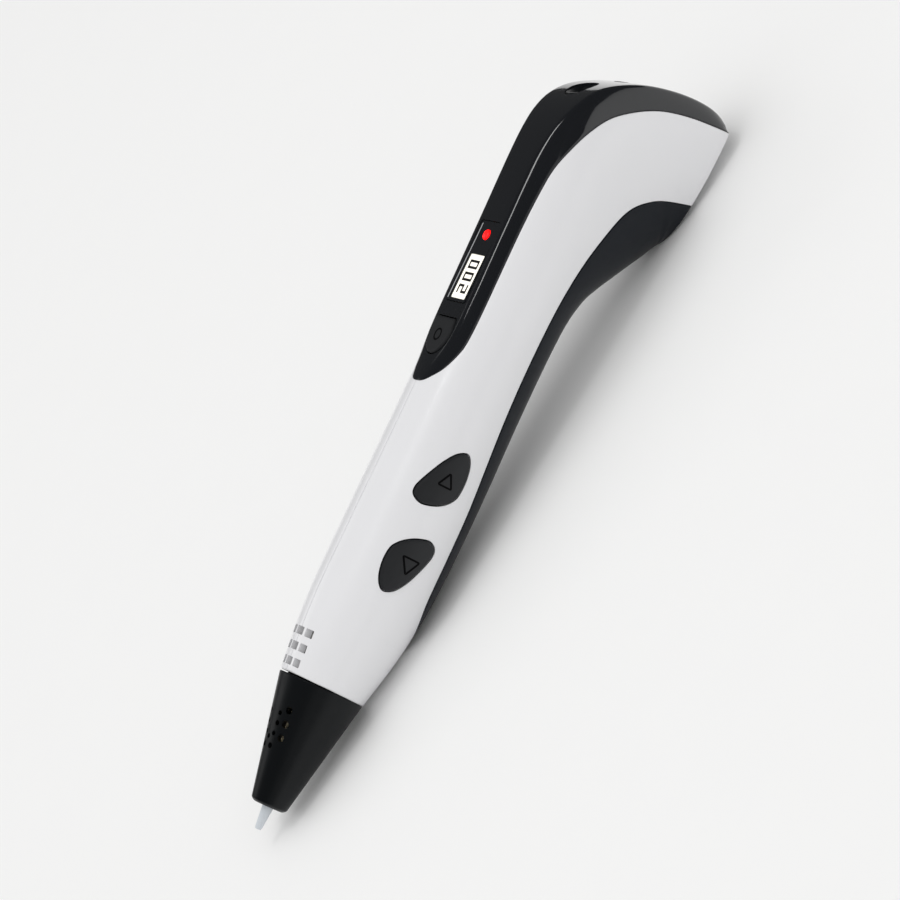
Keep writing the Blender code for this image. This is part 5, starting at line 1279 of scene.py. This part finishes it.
def build_display():
    """The smoked window with a grey line painted along its edge as a highlight, the lit readout behind its opening
    and the red light's dome.
    """
    controls, colours = bpy.context.scene.pen_controls, bpy.context.scene.pen_colours
    top = surface_z(WINDOW_X) + 0.02
    plate_low = (WINDOW_X - WINDOW_HALF_LENGTH, -WINDOW_HALF_WIDTH)
    plate_high = (WINDOW_X + WINDOW_HALF_LENGTH, WINDOW_HALF_WIDTH)
    frame_plate = prism("display_window_plate", rounded_box(plate_low, plate_high, 0.7),
                        top - 1.0, top, PEN)
    sight = prism("screen_opening", rounded_box(LIT_LOW, LIT_HIGH, 0.25), top - 2.0, top + 1.0,
                  PEN)
    place = PEN @ Matrix.Translation(Vector((LED_X, LED_Y, 0.0)) * MM)
    hole = LED_R + 0.1
    light_hole = turned("light_opening", [(top - 3.0, 0.0), (top - 3.0, hole), (top + 1.0, hole),
                                          (top + 1.0, 0.0)], place, 48, "Z")
    carve(frame_plate, [sight, light_hole], curved=False)
    dress(frame_plate, "smoked_window", "body", "display_window")
    # A pale grey line painted on the window plate along its +Y long edge: a painted highlight that stands in for
    # the light caught on the window's edge.
    edge_highlight_paint = finish("Painted edge highlight", (0.42, 0.43, 0.44), 0.35, 2000.0, 0.000002, tint=0.06)
    line = prism("window_line", rounded_box((plate_low[0] + 0.5, 3.3),
                                            (plate_high[0] - 0.6, 3.62), 0.12),
                 top - 0.1, top + 0.03, PEN)
    dress(line, "smoked_window", "body", material=edge_highlight_paint)
    tile = prism("lit_tile", rounded_box((LIT_LOW[0] + 0.08, LIT_LOW[1] + 0.08),
                                         (LIT_HIGH[0] - 0.08, LIT_HIGH[1] - 0.08), 0.2),
                 top - 1.02, top - 0.12, PEN)
    lit = glowing("Lit display", colours.lit, 0.5)
    dress(tile, "display_glass", "body", "display_module", material=lit)
    bars = digit_bars(controls.readout, (LIT_LOW[0] + 0.9, LIT_LOW[1] + 1.1),
                      (LIT_HIGH[0] - 0.9, LIT_HIGH[1] - 1.1), 0.6)
    places = []
    for (x0, y0), (x1, y1) in bars:
        middle = Vector(((x0 + x1) / 2, (y0 + y1) / 2, top - 0.12))
        places.append((PEN @ Matrix.Translation(middle * MM),
                       Vector((x1 - x0 - 0.02, y1 - y0 - 0.02, 0.05)) * MM))
    ink = finish("Readout ink", (0.006, 0.006, 0.007), 0.4, 2000.0, 0.000001)
    digits = repeated("readout_bars", unit_box(0.08), places, ink)
    dress(digits, "display_glass", "body", material=ink)
    dome = [(top + 0.6 * math.cos(t), LED_R * math.sin(t)) for t in np.linspace(0, 1.5, 9)]
    lens = turned("status_lens", [(top - 2.0, 0.0), (top - 2.0, LED_R), *dome[::-1]], place, 48,
                  "Z")
    dress(lens, "red_light", "body", "status_light")


def build_gauze():
    """The fine gauze that lines the vent windows from inside."""
    wall = bpy.context.scene.pen_body.wall
    rows = []
    for where in np.linspace(*GAUZE_ALONG, 14):
        section = Section(where)
        sheets = []
        for depth in (wall + GAUZE_GAP, wall + GAUZE_GAP + GAUZE_THICKNESS):
            sheets.append([section.place(section.side(abs(angle), depth), math.copysign(1, angle))
                           for angle in np.linspace(-GAUZE_ANGLE, GAUZE_ANGLE, 28)])
        rows.append(tuple(sheets))
    gauze = skin("vent_gauze", rows)
    woven = finish("Woven gauze", (0.26, 0.255, 0.24), 0.6, 1800.0, 0.00006, tint=0.35,
                   tint_scale=1600.0)
    dress(gauze, "heater_sleeve", "body", material=woven)


def build_openings():
    """The filament inlet's collar."""
    funnel = turned("inlet_collar", [(-0.25, 3.72), (-4.3, 3.72), (-4.3, 1.1), (-2.6, 1.1),
                                     (-2.2, 1.5), (-0.25, 2.9)], INLET, 96, rounding=0.3)
    dress(funnel, "cone_black", "body", "inlet_funnel")


def build_screws():
    """Pan-head case screws with cross recesses, one at each well."""
    profile = [(1.3, 0.0), (1.25, 0.7), (1.05, 1.4), (0.7, 1.85), (0.2, 1.9), (0.0, 1.85),
               (0.0, 1.0), (-12.2, 0.95), (-12.8, 0.3), (-12.9, 0.0)]
    screw = turned("screw_shape", profile, Matrix.Scale(1.0, 4), 40, "Y")
    for turn in (0.0, math.pi / 2):
        slot = prism("cross_slot", rounded_box((-1.1, -0.22), (1.1, 0.22), 0.15), 0.55, 2.0,
                     Matrix.Rotation(turn, 4, "Y"), "XZ")
        carve(screw, [slot], curved=False)
    places = []
    for index in range(len(SCREWS)):
        low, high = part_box(f"case_screw_{index + 1}")
        x, z = SCREWS[index]
        seat = (PEN.inverted() @ Vector(((low[0] + high[0]) / 2, high[1], 0.0))).y / MM - 1.3
        places.append((PEN @ Matrix.Translation(Vector((x, seat, z)) * MM),
                       Vector((1.0, 1.0, 1.0))))
    screws = repeated("case_screw_set", screw, places, carried("steel"))
    dress(screws, "steel", "body", *(f"case_screw_{k + 1}" for k in range(len(SCREWS))))


def finish_carried_nodes():
    """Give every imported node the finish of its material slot."""
    slots = {entry["node"]: entry["material_slot"] for entry in frame["record"]["subparts"]}
    for name, node in frame["nodes"].items():
        material = carried(slots[name])
        node.data.materials.clear()
        node.data.materials.append(material)


# ---------------------------------------------------------------------------------------------
# Studio


def view_axes(stage):
    """The camera's right, up and forward directions in the pen's frame."""
    roll, swing, turn = stage.roll, stage.swing, stage.turn
    along = np.array([math.cos(swing) * math.sin(roll), math.cos(swing) * math.cos(roll),
                      math.sin(swing)])
    first = np.array([-math.cos(roll), math.sin(roll), 0.0])
    second = np.array([math.sin(swing) * math.sin(roll), math.sin(swing) * math.cos(roll),
                       -math.cos(swing)])
    up = math.cos(turn) * first + math.sin(turn) * second
    side = math.sin(turn) * first - math.cos(turn) * second
    return np.array([along, side, up]).T


def build_stage():
    stage = bpy.context.scene.pen_stage
    axes = view_axes(stage)
    right, up, forward = (Vector(row) for row in axes)
    reach = stage.distance / MM
    spread = SENSOR / stage.lens
    depth = reach - float(axes[2] @ PEN_MIDDLE)
    origin = np.array([stage.across * spread * depth, stage.rise * spread * depth, depth])
    place = Vector(-(axes.T @ origin))
    turn = Matrix((right, up, -forward)).transposed().to_4x4()
    camera = bpy.data.cameras.new("camera")
    camera.lens = stage.lens
    camera.sensor_width = SENSOR
    camera.clip_start = 0.01
    camera_object = link(bpy.data.objects.new("camera", camera))
    camera_object.matrix_world = PEN @ Matrix.Translation(place * MM) @ turn
    bpy.context.scene.camera = camera_object

    bm = bmesh.new()
    bmesh.ops.create_grid(bm, x_segments=2, y_segments=2, size=4.0)
    mesh = bpy.data.meshes.new("floor")
    bm.to_mesh(mesh)
    bm.free()
    floor = link(bpy.data.objects.new("floor", mesh))
    floor.location = (0.0, 0.0, CAD_BOX[0][2] - 0.0001)
    floor.data.materials.append(finish("Studio floor", stage.floor, 0.9, 900.0, 0.000001,
                                       tint=0.01, scuffs=0.0))

    for name, spot, aim, width, depth, power, shows in LAMPS:
        lamp = bpy.data.lights.new(name, "AREA")
        lamp.shape = "RECTANGLE"
        lamp.size = width
        lamp.size_y = depth
        lamp.energy = power
        lamp_object = link(bpy.data.objects.new(name, lamp))
        lamp_object.location = spot
        lamp_object.visible_glossy = shows
        lamp_object.rotation_euler = (Vector(aim) - Vector(spot)).to_track_quat(
            "-Z", "Y").to_euler()
    world = bpy.data.worlds.new("studio")
    world.use_nodes = True
    nodes, links = world.node_tree.nodes, world.node_tree.links
    preset(nodes["Background"], Color=(1.0, 1.0, 1.0, 1.0))
    # Black flags round the set: glossy surfaces see a dimmer sky than the one that lights them.
    path = nodes.new("ShaderNodeLightPath")
    sky = math_node(nodes, links, "MULTIPLY_ADD", path.outputs["Is Glossy Ray"],
                    GLOSSY_SKY - SKY, SKY)
    links.new(sky, nodes["Background"].inputs["Strength"])
    bpy.context.scene.world = world
    bpy.context.scene.view_settings.view_transform = "Standard"


# ---------------------------------------------------------------------------------------------
# Add-on


class PenShells(bpy.types.Operator):
    """Build the two white side shells with their vents, button openings and screw wells."""
    bl_idname = "pen.shells"
    bl_label = "Side shells"

    def execute(self, context):
        build_shells()
        return {"FINISHED"}


class PenGauze(bpy.types.Operator):
    """Build the gauze behind the vent windows."""
    bl_idname = "pen.gauze"
    bl_label = "Vent gauze"

    def execute(self, context):
        build_gauze()
        return {"FINISHED"}


class PenPanel(bpy.types.Operator):
    """Build the glossy black panel that wraps over the head."""
    bl_idname = "pen.panel"
    bl_label = "Top panel"

    def execute(self, context):
        build_panel()
        return {"FINISHED"}


class PenUnderside(bpy.types.Operator):
    """Build the satin black strip under the body."""
    bl_idname = "pen.underside"
    bl_label = "Underside"

    def execute(self, context):
        build_underside()
        return {"FINISHED"}


class PenNose(bpy.types.Operator):
    """Build the perforated nose cone and the ceramic nozzle."""
    bl_idname = "pen.nose"
    bl_label = "Nose and nozzle"

    def execute(self, context):
        build_nose()
        return {"FINISHED"}


class PenControls(bpy.types.Operator):
    """Build the feed, retract and mode buttons with their printed marks."""
    bl_idname = "pen.controls"
    bl_label = "Buttons"

    def execute(self, context):
        build_controls()
        return {"FINISHED"}


class PenDisplay(bpy.types.Operator):
    """Build the display window, the lit readout and the status light."""
    bl_idname = "pen.display"
    bl_label = "Display"

    def execute(self, context):
        build_display()
        return {"FINISHED"}


class PenOpenings(bpy.types.Operator):
    """Build the filament inlet's collar."""
    bl_idname = "pen.openings"
    bl_label = "Filament inlet"

    def execute(self, context):
        build_openings()
        return {"FINISHED"}


class PenScrews(bpy.types.Operator):
    """Build the case screws."""
    bl_idname = "pen.screws"
    bl_label = "Case screws"

    def execute(self, context):
        build_screws()
        return {"FINISHED"}


class PenMechanism(bpy.types.Operator):
    """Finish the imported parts: hot end, feed drive, motor, boards and jack."""
    bl_idname = "pen.mechanism"
    bl_label = "Mechanism finishes"

    def execute(self, context):
        finish_carried_nodes()
        return {"FINISHED"}


class PenStage(bpy.types.Operator):
    """Set up the floor, the lights and the camera."""
    bl_idname = "pen.stage"
    bl_label = "Studio"

    def execute(self, context):
        build_stage()
        return {"FINISHED"}


STEPS = (PenMechanism, PenShells, PenGauze, PenPanel, PenUnderside, PenNose, PenControls,
         PenDisplay, PenOpenings, PenScrews, PenStage)
SETTINGS = {"pen_body": PenBodySettings, "pen_controls": PenControlSettings,
            "pen_colours": PenColourSettings, "pen_stage": PenStageSettings}


class PenSidebar(bpy.types.Panel):
    """Lists the pen's build steps and settings."""
    bl_idname = "VIEW3D_PT_pen"
    bl_label = "3-D pen"
    bl_space_type = "VIEW_3D"
    bl_region_type = "UI"
    bl_category = "Pen"

    def draw(self, context):
        for step in STEPS:
            self.layout.operator(step.bl_idname, text=step.bl_label)
        for name, kind in SETTINGS.items():
            box = self.layout.box()
            for prop in kind.__annotations__:
                box.prop(getattr(context.scene, name), prop)


def register():
    for kind in (*SETTINGS.values(), *STEPS, PenSidebar):
        bpy.utils.register_class(kind)
    for name, kind in SETTINGS.items():
        setattr(bpy.types.Scene, name, PointerProperty(type=kind))


def unregister():
    for name in SETTINGS:
        delattr(bpy.types.Scene, name)
    for kind in reversed((*SETTINGS.values(), *STEPS, PenSidebar)):
        bpy.utils.unregister_class(kind)


def main():
    register()
    for step in STEPS:
        group, action = step.bl_idname.split(".")
        getattr(getattr(bpy.ops, group), action)()


if __name__ == "__main__":
    main()
